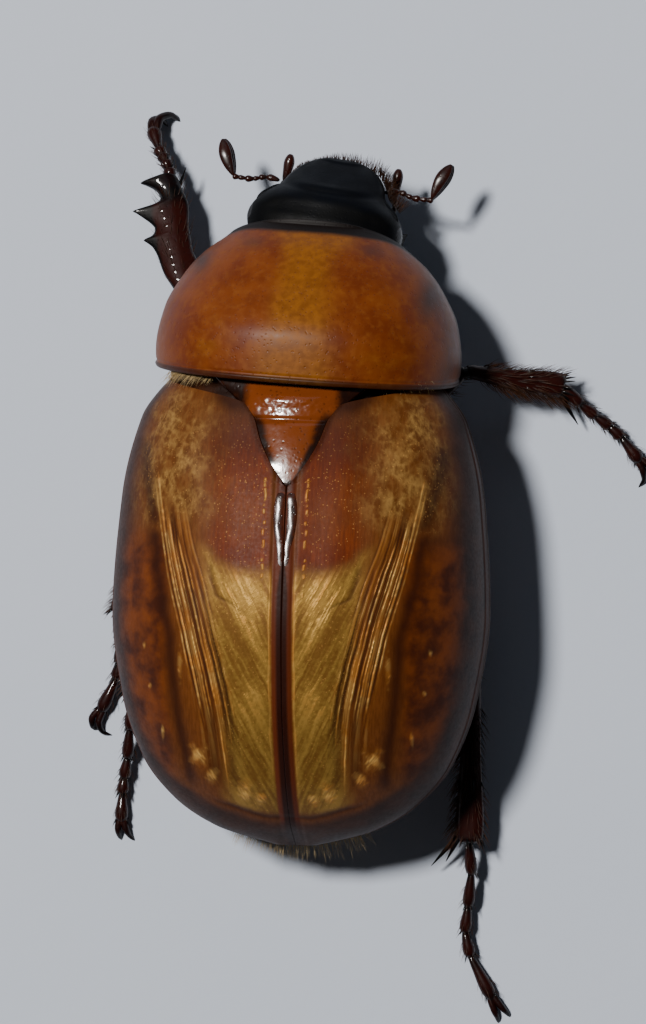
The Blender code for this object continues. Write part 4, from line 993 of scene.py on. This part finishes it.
def collar_part():
    """The dark folded skin in the joint between the pronotum and the wing cases."""
    u, v = np.meshgrid(np.linspace(-1, 1, 140), np.linspace(0, 1, 40))
    x, z = arch(u * math.radians(88.0), 4.0 - 0.25 * v, 4.1, 6.82 + 0.25 * v)
    points = stacked(x, -4.1 + 2.1 * v, z + 0.04 * np.sin(26.0 * v))
    # Tone darkest about 1.9 mm either side of the middle: painted shadow under the pronotum's hind edge
    tone = 0.55 + 0.45 * bell(np.abs(x), 1.9, 0.5)
    return *sheet(points, (0.0, -3.0, 2.0)), tone.ravel()


# Head

def neck_part():
    """The dark skin that closes the front of the pronotum round the head."""
    points = NECK_CENTRE + NECK_RADII * sphere(50, 80)
    z = points[..., 2]
    points[..., 1] += 0.03 * np.sin(14.0 * z) * step(z, NECK_CENTRE[2], NECK_CENTRE[2] + 0.5)
    return *sheet(points, wrap=True), 0.7


def on_neck(points):
    """Points of a head made on the middle line, moved to where the turned head carries them."""
    return turned(points + np.array([NECK[0], 0.0, 0.0]), HEAD_YAW, NECK)


def head_relief(points, phi):
    """The turned-up rim, the ridge and groove across the brow, and the hollow behind them."""
    x, y, z = np.moveaxis(points, -1, 0)
    across = np.abs(x) / np.maximum(curve(HEAD_HALF_WIDTH, y), 0.3)
    clypeus = fall(y, -9.3, -9.15)
    rim = most(bell(across, 0.96, 0.07) * clypeus, bell(y + 0.12 * x**2, -10.02, 0.07))
    brow = bell(y + 0.05 * x**2, -9.2, 0.13) * fall(across, 0.8, 1.0)
    groove = bell(y + 0.05 * x**2, -8.98, 0.07) * fall(np.abs(x), 1.2, 1.7)
    hollow = bell(y - 0.03 * x**2, -8.5, 0.24) * fall(across, 0.6, 0.95)
    dents = bell(np.abs(x), 0.75, 0.4) * bell(y, -8.72, 0.3)
    lift = 0.06 * rim + 0.035 * brow - 0.02 * groove - 0.1 * hollow - 0.02 * dents
    lift = lift - 0.05 * clypeus * (1 - across)
    return stacked(x - 0.12 * fall(y, -9.9, -8.9), y, z + step(np.sin(phi), 0.0, 0.35) * lift)


def head_part():
    parts = [body_part(
        (-10.1, -7.1), (HEAD_HALF_WIDTH, HEAD_TOP, HEAD_WAIST, HEAD_BELLY), (170, 200), 8.0, 0.9,
        # Tone: lighter at the front, a painted blue-grey reflection on the clypeus and brow; darker behind
        lambda points: 0.25 + 0.5 * step(points[..., 1], -8.85, -8.5), head_relief,
    )]
    for side in (1.0, -1.0):
        path = [(side * 1.45, -9.0, 3.5), (side * 1.9, -8.62, 3.68), (side * 2.16, -8.25, 3.72)]
        widths, heights = [(0, 0.4), (0.5, 0.4), (1, 0.25)], [(0, 0.26), (0.6, 0.18), (1, 0.1)]
        parts.append(Limb(path, widths, heights, (0.6 * side, 1, 0)).part(24, 16, tone=0.4))
    points, faces, tones = joined(parts)
    return on_neck(points), faces, tones


def eye_part(side):
    centre = EYE_CENTRE * np.array([side, 1.0, 1.0])
    points, faces = sheet(centre + EYE_RADIUS * sphere(40, 60) * np.array([1.0, 1.05, 1.0]), wrap=True)
    return on_neck(points), faces, 0.5


def beaded(path, ends, widths, out, tone=0.3):
    """A feeler's stalk or a palp: a row of small segments, each thickest near its own end."""
    parts = []
    for start, end, width in zip(ends[:-1], ends[1:], widths):
        inner = along(path, np.linspace(max(0.0, start - 0.03), min(1.0, end + 0.01), 3))
        sizes = scaled([(0, 0.6), (0.25, 0.7), (0.72, 1.0), (1, 0.8)], width)
        limb = Limb(inner, sizes, scaled(sizes, 0.92), out, 3.0)
        parts.append(limb.part(16, 16, tone=ends_toned(tone, start=(0.5, 0.25))))
    return joined(parts)


def mouth_parts():
    chin = [(0, -7.9, 1.85), (0, -8.7, 1.9), (0, -9.5, 2.15)]
    chin = Limb(chin, [(0, 0.9), (0.5, 1.0), (1, 0.6)], [(0, 0.5), (1, 0.45)], (1, 0, 0))
    parts = {"labium": chin.part(30, 24, tone=0.4)}
    for side, word in SIDES:
        path = JAW * np.array([side, 1.0, 1.0])
        jaw = Limb(path, [(0, 0.5), (0.6, 0.5), (1, 0.25)], [(0, 0.45), (1, 0.3)], (1, 0, 0))
        parts["mandible_" + word] = jaw.part(26, 18, tone=lambda t, phi: 0.4 + 0.6 * t)
        parts["palp_" + word] = beaded(PALPS[word], [0.0, 0.18, 0.38, 1.0], [0.18, 0.2, 0.33], (1, 0, 0))
    return {name: (on_neck(points), faces, tone) for name, (points, faces, tone) in parts.items()}


def antenna_parts(word):
    """The stalk: a long first segment, then small beads; and the club of three leaves."""
    root, elbow, tip = np.array(ANTENNAE[word])
    wave, reach = np.array([0.0, 0.07, 0.02]), elbow - root
    stalk = [root, root + 0.3 * reach - wave, root + 0.62 * reach + 0.4 * wave, elbow + 0.04 * reach]
    ends = [0.0, 0.33, 0.5, 0.63, 0.78, 0.9, 1.0]
    stalk = beaded(stalk, ends, [0.22, 0.19, 0.16, 0.21, 0.16, 0.19], (0, 1, 0), 0.4)
    line = unit(tip - elbow)
    side = unit(np.array([-line[1], line[0], 0.0]))
    base = elbow + 0.02 * line
    widths = [(0, 0.14), (0.3, 0.29), (0.62, 0.37), (0.85, 0.31), (1, 0.18)]
    leaves = []
    for k in (-1, 0, 1):
        lift = np.array([0.0, 0.0, 0.13 * k]) + 0.035 * k * side
        path = [base + 0.4 * lift, 0.5 * (base + tip) + lift + 0.03 * side, tip + 0.7 * lift]
        leaf = Limb(path, widths, [(0, 0.12), (0.5, 0.15), (1, 0.1)], (1, 0, 0), 3.0)
        leaves.append(leaf.part(34, 20, tone=lambda t, phi: 0.45 - 0.4 * np.abs(np.cos(phi)) ** 6))
    return stalk, joined(leaves)


# Legs

class Leg:
    """The joints of one leg as points, its side and kind, and the direction in which its edge looks."""

    def __init__(self, name):
        self.name, self.kind = name, name.split("_")[0]
        for joint, places in LEGS[name].items():
            setattr(self, joint, np.array(places, float))
        self.side, self.outer = np.sign(self.coxa[0]), unit(self.outer)


def coxa_limb(leg):
    y, z = leg.coxa[1:]
    reach = COXA_REACH[leg.kind]
    path = [(leg.side * 0.3, y, z), (leg.side * (0.4 + reach), y, z + 0.12 * reach)]
    return Limb(path, [(0, 0.84), (1, 0.74)], [(0, 0.94), (1, 0.74)], (0, 1, 0))


def femur_limb(leg):
    y, z = leg.coxa[1:]
    reach = COXA_REACH[leg.kind]
    hip = np.array([leg.side * (0.15 + reach), y, z + 0.1 * reach])
    middle = 0.5 * (hip + leg.knee) + np.array([0.0, 0.04, 0.03])
    end = leg.knee + 0.06 * unit(leg.knee - hip)
    wide, high = FEMUR_WIDTH[leg.kind], FEMUR_HEIGHT[leg.kind]
    widths = [(0, 0.5), (0.2, 0.8 * wide), (0.45, wide), (0.8, 0.72 * wide), (1, 0.55)]
    heights = [(0, 0.45), (0.45, high), (0.85, 0.75 * high), (1, 0.46)]
    return Limb([hip, middle, end], widths, heights, (0, 1, 0))


def tibia_limb(leg):
    start = leg.knee + 0.06 * unit(leg.ankle - leg.knee)
    middle = 0.5 * (start + leg.ankle) - 0.04 * leg.outer
    (narrow, wide), (low, high) = TIBIA_WIDTH[leg.kind], TIBIA_HEIGHT
    half_way = 0.5 * (narrow + wide)
    widths = [(0, narrow), (0.12, 1.05 * narrow), (0.55, half_way), (0.9, 0.98 * wide), (1, wide)]
    return Limb([start, middle, leg.ankle], widths, [(0, low), (0.5, 0.95 * low), (1, high)], leg.outer, 7.0)


def blade_limb(leg):
    """The middle of the digging tibia, for the hairs that grow on it."""
    start = leg.knee + 0.3 * unit(leg.ankle - leg.knee)
    middle = 0.5 * (start + leg.ankle) + 0.2 * leg.outer
    path = [start + 0.05 * leg.outer, middle, leg.ankle + 0.1 * leg.outer]
    return Limb(path, [(0, 0.4), (0.5, 0.95), (1, 0.7)], [(0, 0.44), (1, 0.46)], leg.outer, 6.0)


def spine_part(root, tip, radius, bend=0.0, rings=7, segments=8):
    middle = 0.5 * (root + tip) + np.array([0.0, 0.0, bend])
    helper = (0.0, 0.0, 1.0) if abs(unit(tip - root)[2]) < 0.8 else (1.0, 0.0, 0.0)
    sizes = scaled([(0, 2.0), (0.5, 1.4), (1, 0.25)], radius)
    return Limb([root, middle, tip], sizes, sizes, helper, 6.0).part(rings, segments, tone=1.0)


def lifted(point, floor):
    """The point, raised to the floor height if it lies lower."""
    return np.array([*point[:2], max(point[2], floor)])


def blade_part(leg):
    """The flat digging tibia: dark red between black edges, its outer edge drawn out into three teeth."""
    ahead = unit(leg.ankle - leg.knee)
    out = unit(leg.outer - ahead * (ahead @ leg.outer))
    up = np.cross(ahead, out)
    first, last = 0.04, BLADE_OUTER[-1][0]
    place, phi = np.meshgrid(np.linspace(first, last, 260), angles_round(48), indexing="ij")
    near, far = curve(BLADE_INNER, place), curve(BLADE_OUTER, place)
    closed = np.clip(np.minimum((place - first) / 0.15, (last - place) / 0.06), 0.02, 1.0)
    reach = 0.5 * (near + far) + 0.5 * (far - near) * np.cos(phi)
    ridge = 0.02 * bell(reach, 0.1, 0.15)
    rows = bell(reach, -0.1, 0.03) + bell(reach, 0.36, 0.03)
    dots = 0.014 * rows * step(np.cos(place * TURN / 0.24), 0.3, 0.9)
    high = 0.5 * curve(BLADE_THICKNESS, reach) * signed_power(np.sin(phi), 0.75) * np.sqrt(closed)
    high = high + signed_power(np.sin(phi), 0.7) * (ridge + dots) * step(place, 0.3, 0.8)
    points = leg.knee + place[..., None] * ahead + reach[..., None] * out + high[..., None] * up
    tone = 0.1 + 0.6 * step(np.abs(np.cos(phi)), 0.8, 0.99) + 0.9 * step(reach, 0.6, 0.85)
    tone = np.clip(tone + 0.75 * step(place, 3.2, 3.95), 0.0, 1.0)
    spur = spine_part(leg.knee + 3.9 * ahead - 0.1 * out, leg.knee + 4.65 * ahead - 0.5 * out, 0.07)
    return [(*sheet(points, wrap=True), tone.ravel()), spur]


def rear_spines(leg, limb, draw):
    """The rings of spines round a tibia, the densest at its end, and the two long spurs."""
    parts = []
    for share, count, reach, radius in SPINE_RINGS:
        for k in range(count):
            phi = TURN * (k + 0.4 * draw.random()) / count
            root, away, ahead = limb.at(share, phi, 0.8)
            length = reach * (0.75 + 0.5 * draw.random())
            tip = lifted(root + away * (0.16 + 0.06 * draw.random()) + ahead * length, 0.08)
            parts.append(spine_part(root, tip, radius, rings=5, segments=6))
    line = unit(leg.ankle - leg.knee)
    for lean, reach in ((1.15, LONG_SPUR[leg.kind]), (0.7, 0.7)):
        root = along(limb.path, 0.94) - leg.outer * 0.22
        tip = lifted(along(limb.path, 1.0) - leg.outer * lean + line * reach, 0.1)
        parts.append(spine_part(root, tip, 0.095, 0.05, 14, 10))
    return parts


def tibia_relief(t, phi):
    """Low ridges along a tibia and the thickened rims at its ends."""
    ridges = 0.012 * np.cos(6.0 * phi) * step(t, 0.05, 0.3)
    return ridges + 0.02 * bell(t, 0.97, 0.02) + 0.015 * bell(t, 0.05, 0.03)


def tarsus_limbs(leg):
    joints = [leg.ankle, *leg.tarsus]
    last = LAST_SEGMENT[leg.kind]
    limbs = []
    for start, end, grow in zip(joints[:-1], joints[1:], (1.0, 1.0, 1.0, 1.0, last)):
        ahead, swell = unit(end - start), TARSUS_WIDTH * grow
        path = [start - 0.06 * ahead, 0.5 * (start + end) + np.array([0, 0, 0.02]), end + 0.05 * ahead]
        sizes = [(0, 0.22), (0.3, 0.29), (0.8, swell), (1, 0.8 * swell)]
        limbs.append(Limb(path, sizes, scaled(sizes, 0.95), (0.0, 0.3, 1.0), 3.5))
    return limbs


def on_floor(part):
    """The part, with all that would lie below the soles' flats raised to them."""
    points, faces, tone = part
    points[:, 2] = np.maximum(points[:, 2], SOLE)
    return points, faces, tone


def claw_parts(leg):
    """Two hooked claws with sharp ends, and the bristled pad between them."""
    before, last = leg.tarsus[-2:]
    ahead = unit(last - before)
    across = unit(np.array([-ahead[1], ahead[0], 0.0]))
    sizes = scaled([(0, 0.2), (0.35, 0.17), (0.8, 0.1)], CLAW_SCALE[leg.kind]) + [(1, 0.03)]
    parts = []
    for spread in (-1.0, 1.0):
        path = [last - 0.08 * ahead + 0.05 * spread * across]
        path += [point + across * spread * (0.12 + 0.04 * number) for number, point in enumerate(leg.claw)]
        claw = Limb(path, sizes, sizes, (0.3, 0.2, 1.0), 6.0)
        parts.append(on_floor(claw.part(26, 12, tone=lambda t, phi: 0.4 + 0.6 * t)))
    pad = spine_part(last, last + 0.16 * ahead - np.array([0, 0, 0.03]), 0.03, rings=6, segments=6)
    return parts + [pad]


def tarsus_parts(leg, limbs, draw):
    parts = []
    for limb, count in zip(limbs, (4, 4, 4, 4, 2)):
        parts.append(limb.part(20, 16, tone=ends_toned(0.35, (0.5, 0.25), (0.25, 0.12))))
        for k in range(count):
            phi = TURN * (k + 0.3 + 0.4 * draw.random()) / count
            root, away, ahead = limb.at(0.88, phi, 0.8)
            tip = lifted(root + away * 0.12 + ahead * (0.16 + 0.08 * draw.random()), 0.05)
            parts.append(spine_part(root, tip, 0.028, rings=5, segments=5))
    return [on_floor(joined(parts))] + claw_parts(leg)


def limb_hairs(limb, count, shares, phis, length, lean, radius, draw, tile):
    """Hairs on a limb between two shares of its length and two angles round it; lean is towards its end."""
    t = draw.uniform(*shares, count)
    phi = draw.uniform(*phis, count)
    roots, away, ahead = limb.at(t, phi, 0.92)
    directions = away + ahead * lean + draw.normal(0, 0.15, (count, 3))
    lengths = length * draw.uniform(0.6, 1.2, count)
    ends = roots[:, 2] + unit(directions)[:, 2] * lengths
    directions[:, 2] = np.where(ends < 0.1, np.abs(directions[:, 2]), directions[:, 2])
    unwrap = stacked((tile[0] + phi / TURN) / 7.0, (tile[1] + t) / 5.0)
    return hair_part(roots, directions, lengths, radius, 0.5 * ahead - np.array([0.0, 0.0, 0.15]), unwrap)


def build_legs(finish, hair):
    for number, name in enumerate(LEGS):
        leg, draw = Leg(name), np.random.default_rng(100 + number)
        digs = leg.kind == "fore"
        femur, feet = femur_limb(leg), tarsus_limbs(leg)
        tibia = blade_limb(leg) if digs else tibia_limb(leg)
        thigh = femur.part(40, 28, tone=ends_toned(0.15, (0.3, 0.1), (0.5, 0.1)))
        knee = Limb([along(femur.path, 0.94), along(tibia.path, 0.06)], [(0, 0.4), (1, 0.4)],
                    [(0, 0.36), (1, 0.36)], (0, 0.2, 1.0))
        if digs:
            shin = blade_part(leg)
        else:
            shaft = tibia.part(60, 36, tibia_relief, ends_toned(0.2, (0.4, 0.08), (0.5, 0.06)))
            shin = [shaft] + rear_spines(leg, tibia, draw)
        shells = {
            "coxa": coxa_limb(leg).part(26, 24, tone=0.35),
            "femur": joined([thigh, knee.part(14, 14, tone=0.8)]),
            "tibia": joined(shin), "tarsus": joined(tarsus_parts(leg, feet, draw)),
        }
        for node, part in shells.items():
            piece(f"{node}_shell_{name}", part, finish, [f"{node}_{name}"])
        dense = TIBIA_HAIRS[leg.kind]
        groups = [
            limb_hairs(femur, 130, (0.25, 0.97), (0, TURN), 0.32, 0.5, 0.011, draw, (number, 0)),
            limb_hairs(tibia, dense, (0.15, 0.98), (0, TURN), 0.34, 0.9, 0.012, draw, (number, 1)),
        ]
        if not digs:
            inner = (0.75 * math.pi, 1.25 * math.pi)
            groups.append(limb_hairs(tibia, 170, (0.3, 0.99), inner, 0.5, 0.7, 0.012, draw, (number, 2)))
        for place, foot in enumerate(feet):
            tile = (number, 3 + 0.2 * place)
            groups.append(limb_hairs(foot, 26, (0.4, 0.95), (0, TURN), 0.2, 1.1, 0.01, draw, tile))
        hair_piece("setae_" + name, groups, hair)


# Underside

elytra_room = inset(ELYTRA_HALF_WIDTH, 0.75)


def belly_height(y):
    """The belly's height: each plate rises towards its rear edge, where the next begins a step lower."""
    edges = np.array([ABDOMEN_BELLY[0][0]] + VENTRITES)
    start = edges[np.clip(np.searchsorted(edges, y, side="right") - 1, 0, len(edges) - 1)]
    return curve(ABDOMEN_BELLY, y) + VENTRITE_STEP * (1.0 - np.clip((y - start) / 0.8, 0.0, 1.0))


def plate_tone(*edges):
    """A tone that darkens at the edges between the plates."""
    def tone(points):
        dark = sum(bell(points[..., 1], edge, 0.07) for edge in edges)
        return np.clip(0.3 + 0.6 * dark, 0.0, 1.0)
    return tone


def breast_relief(points, phi):
    """The furrows of the breast plates: one along the middle and one slanting on each side."""
    x, y, z = np.moveaxis(points, -1, 0)
    furrow = bell(x, 0.0, 0.12) + 0.7 * bell(np.abs(x) - 0.45 * (y + 3.0), 0.4, 0.1)
    return stacked(x, y, z + step(-np.sin(phi), 0.2, 0.6) * 0.06 * furrow)


def build_underside(finish):
    points, faces, tone = body_part(
        (-7.75, -3.6), (inset(PRONOTUM_HALF_WIDTH, 0.75), inset(PRONOTUM_TOP, 0.85), 4.2, 2.25),
        (60, 90), 5.0, 0.85, plate_tone(-7.4, -4.0),
    )
    breast = turned(points, PRONOTUM_YAW, PRONOTUM_PIVOT), faces, tone
    thorax = body_part(
        (-3.65, 2.75), (elytra_room, THORAX_TOP, 4.2, THORAX_BELLY), (90, 110), 7.0, 0.85,
        plate_tone(-3.2, -0.6, 2.4), breast_relief,
    )
    belly = body_part(
        (2.6, 9.3), (inset(ELYTRA_HALF_WIDTH, 0.72, 0.45), inset(ELYTRA_TOP, 0.95, 0.5), 4.0, belly_height),
        (190, 110), 7.0, 0.85, plate_tone(*VENTRITES),
    )
    ball = sphere(50, 70)
    ball[..., :2] *= 1.0 - 0.25 * step(-ball[..., 2:3], -0.4, 1.0)
    tail = PYGIDIUM_CENTRE + ball * PYGIDIUM_RADII * TAIL_FIT + np.array([0.0, -0.25, 0.1])
    tail[..., 1] -= TAIL_SLANT * np.clip(PYGIDIUM_CENTRE[2] + 0.6 - tail[..., 2], 0.0, 2.0)
    pieces = {
        "fore_breast": (breast, "prosternum"), "breast_plates": (thorax, "thorax"),
        "belly_plates": (belly, "abdomen"), "tail_plate": ((*sheet(tail, wrap=True), 0.55), "pygidium"),
    }
    for name, (part, node) in pieces.items():
        piece(name, part, finish, [node])


# Hairs of the body

def collar_hairs(draw, count=380):
    side = np.where(draw.random(count) < 0.5, -1.0, 1.0)
    x = draw.uniform(2.3, 3.75, count)
    y = draw.uniform(-3.75, -3.55, count)
    z = arch(arch_angle(x, 4.35), 0.0, 4.3, 7.2)[1]
    directions = stacked(side * (0.25 + 0.2 * x / 4.0), 0.5, 0.55) + draw.normal(0, 0.22, (count, 3))
    lengths = draw.uniform(0.15, 0.36, count)
    unwrap = stacked(0.5 + side * x / 9.0, (y + 3.8) / 2.0)
    roots, droop = stacked(side * x, y, z), stacked(0.25 * side, 0.45, -0.2)
    return hair_part(roots, directions, lengths, 0.008, droop, unwrap)


def tail_hairs(draw, count=420):
    x = draw.uniform(-1.7, 1.7, count)
    y = 9.55 - 0.12 * x**2 + draw.uniform(-0.2, 0.05, count)
    z = draw.uniform(2.2, 3.3, count)
    directions = stacked(0.35 * x, 1.0, 0.1) + draw.normal(0, 0.2, (count, 3))
    lengths = draw.uniform(0.45, 0.95, count)
    unwrap = stacked(0.5 + x / 4.0, (z - 2.0) / 2.0)
    return hair_part(stacked(x, y, z), directions, lengths, 0.011, (0.0, 0.1, -0.2), unwrap)


def head_hairs(draw, count=900):
    """The brown hairs under the front edge of the head."""
    share = draw.uniform(-1.0, 0.75, count)
    y = -10.02 + 1.2 * np.abs(share) ** 1.6
    x = np.sign(share) * np.minimum(3.0 * np.abs(share), curve(HEAD_HALF_WIDTH, y))
    roots = on_neck(stacked(x, y, 2.85 + 0.2 * draw.random(count))) - np.array([0.1, 0.0, 0.0])
    directions = stacked(0.8 * share, -1.0, 0.05) + draw.normal(0, 0.25, (count, 3))
    unwrap = stacked(0.5 + share / 2.2, 0.1 + 0.3 * draw.random(count))
    lengths = draw.uniform(0.1, 0.22, count) * np.clip(1.5 - 3.0 * share, 0.4, 2.5)
    return hair_part(roots, directions, lengths, 0.009, (0.0, 0.0, 0.2), unwrap)


def underside_hairs(draw, count=1500):
    y = draw.uniform(-7.0, 8.6, count)
    across = draw.uniform(-0.92, 0.92, count)
    half = np.where(y < -3.6, curve(PRONOTUM_HALF_WIDTH, y) - 0.75, elytra_room(y + 0.3))
    bottom = np.where(y < -3.6, 2.25, np.where(y < 2.7, curve(THORAX_BELLY, y), curve(ABDOMEN_BELLY, y)))
    sine = np.sqrt(np.maximum(0.0, 1.0 - np.abs(across) ** (2.0 / 0.85)))
    roots = stacked(half * across, y, 4.1 - (4.1 - bottom) * sine**0.85 + 0.03)
    directions = stacked(across, 0.8, -0.7 * sine) + draw.normal(0, 0.2, (count, 3))
    lengths = draw.uniform(0.25, 0.6, count)
    unwrap = stacked(0.5 + across / 2.1, (y + 7.2) / 16.5)
    return hair_part(roots, directions, lengths, 0.011, (0.0, 0.4, 0.0), unwrap)


def body_hairs(gold, dark):
    draw = np.random.default_rng(7)
    for name, hairs, finish, slot in (
        ("setae_collar", collar_hairs, gold, UNDER_SLOT),
        ("setae_tail", tail_hairs, gold, UNDER_SLOT),
        ("setae_head", head_hairs, dark, "head_black"),
        ("setae_underside", underside_hairs, gold, UNDER_SLOT),
    ):
        hair_piece(name, [hairs(draw)], finish)


# Stage: floor, lights and camera

FLOOR_HALF = 2.5
WORLD_COLOUR, WORLD_STRENGTH = (0.86, 0.91, 1.0), 0.035
LIGHT_TARGET = (0.0, 0.0, 0.004)
# Disk lights in metres and watts: place, size, power, colour
LIGHTS = {
    "key": ((0.085, -0.07, 0.28), 0.04, 1.1, (1.0, 0.97, 0.93)),
    "sky": ((-0.02, -0.28, 0.24), 0.2, 0.03, (0.7, 0.82, 1.0)),
}


def area_light(name, place, size, power, colour):
    data = bpy.data.lights.new(name, "AREA")
    data.shape = "DISK"
    data.size, data.energy, data.color = size, power, colour
    obj = bpy.data.objects.new(name, data)
    bpy.context.scene.collection.objects.link(obj)
    obj.location = place
    obj.rotation_mode = "QUATERNION"
    obj.rotation_quaternion = (Vector(place) - Vector(LIGHT_TARGET)).to_track_quat("Z", "Y")
    obj.visible_camera = False


def build_stage():
    mesh = bpy.data.meshes.new("floor")
    corners = [(-1, -1), (1, -1), (1, 1), (-1, 1)]
    mesh.from_pydata([(x * FLOOR_HALF, y * FLOOR_HALF, 0) for x, y in corners], [], [(0, 1, 2, 3)])
    mesh.materials.append(floor_finish())
    floor = bpy.data.objects.new("floor", mesh)
    bpy.context.scene.collection.objects.link(floor)
    world = bpy.data.worlds.new("studio")
    world.use_nodes = True
    background = world.node_tree.nodes["Background"]
    background.inputs["Color"].default_value = (*WORLD_COLOUR, 1.0)
    background.inputs["Strength"].default_value = WORLD_STRENGTH
    bpy.context.scene.world = world
    for name, values in LIGHTS.items():
        area_light(name, *values)


def build_camera():
    """Looks down as the photo does: a little from the beetle's right side, its head to the image's top."""
    back = np.array([-math.sin(CAMERA_TILT), 0.0, math.cos(CAMERA_TILT)])
    right = unit(np.cross(-back, np.array([0.0, -1.0, 0.0])))
    up = np.cross(back, right)
    c, s = math.cos(CAMERA_ROLL), math.sin(CAMERA_ROLL)
    right, up = c * right + s * up, -s * right + c * up
    place = (CAMERA_TARGET + CAMERA_DISTANCE * back) * MM + SHIFT
    data = bpy.data.cameras.new("photo_view")
    data.sensor_width = SENSOR
    data.lens = SENSOR * CAMERA_DISTANCE / (MM_PER_PIXEL * IMAGE_LONG_SIDE)
    data.clip_start, data.clip_end = 0.01, 20.0
    camera = bpy.data.objects.new("photo_view", data)
    bpy.context.scene.collection.objects.link(camera)
    camera.matrix_world = Matrix([*zip(right, up, back, place), (0.0, 0.0, 0.0, 1.0)])
    bpy.context.scene.camera = camera


def build_beetle():
    finishes = {name: chitin(name) for name in CHITINS}
    feelers, skin = finishes["feeler_chitin"], finishes["fold_skin"]
    gold_hair = hair_finish("setae_gold", (0.32, 0.2, 0.08), (0.6, 0.45, 0.22))
    dark_hair = hair_finish("setae_brown", (0.012, 0.004, 0.002), (0.1, 0.035, 0.012))
    golden, eyes = elytra_finish(), eye_finish()
    for side, word in SIDES:
        part, masks = elytron_part(side)
        piece("elytron_shell_" + word, part, golden, ["elytron_" + word], masks)
        piece("suture_ridge_" + word, suture_part(side), finishes["suture_gloss"])
        piece("eye_ball_" + word, eye_part(side), eyes, ["eye_" + word])
        stalk, club = antenna_parts(word)
        piece("antenna_stalk_" + word, stalk, feelers, ["antenna_" + word])
        piece("antenna_leaves_" + word, club, feelers, ["antennal_club_" + word])
    part, masks = pronotum_part()
    piece("pronotum_shell", part, pronotum_finish(), ["pronotum"], masks)
    amber = finishes["scutellum_amber"]
    piece("scutellum_plate", scutellum_part(), amber, ["scutellum"])
    piece("collar_fold", collar_part(), skin)
    piece("neck_fold", neck_part(), skin)
    piece("head_capsule", head_part(), finishes["head_black"], ["head"])
    for node, part in mouth_parts().items():
        piece(node + "_shell", part, feelers, [node])
    build_legs(finishes["leg_chitin"], dark_hair)
    build_underside(finishes["underside_brown"])
    body_hairs(gold_hair, dark_hair)


build_beetle()
build_stage()
build_camera()
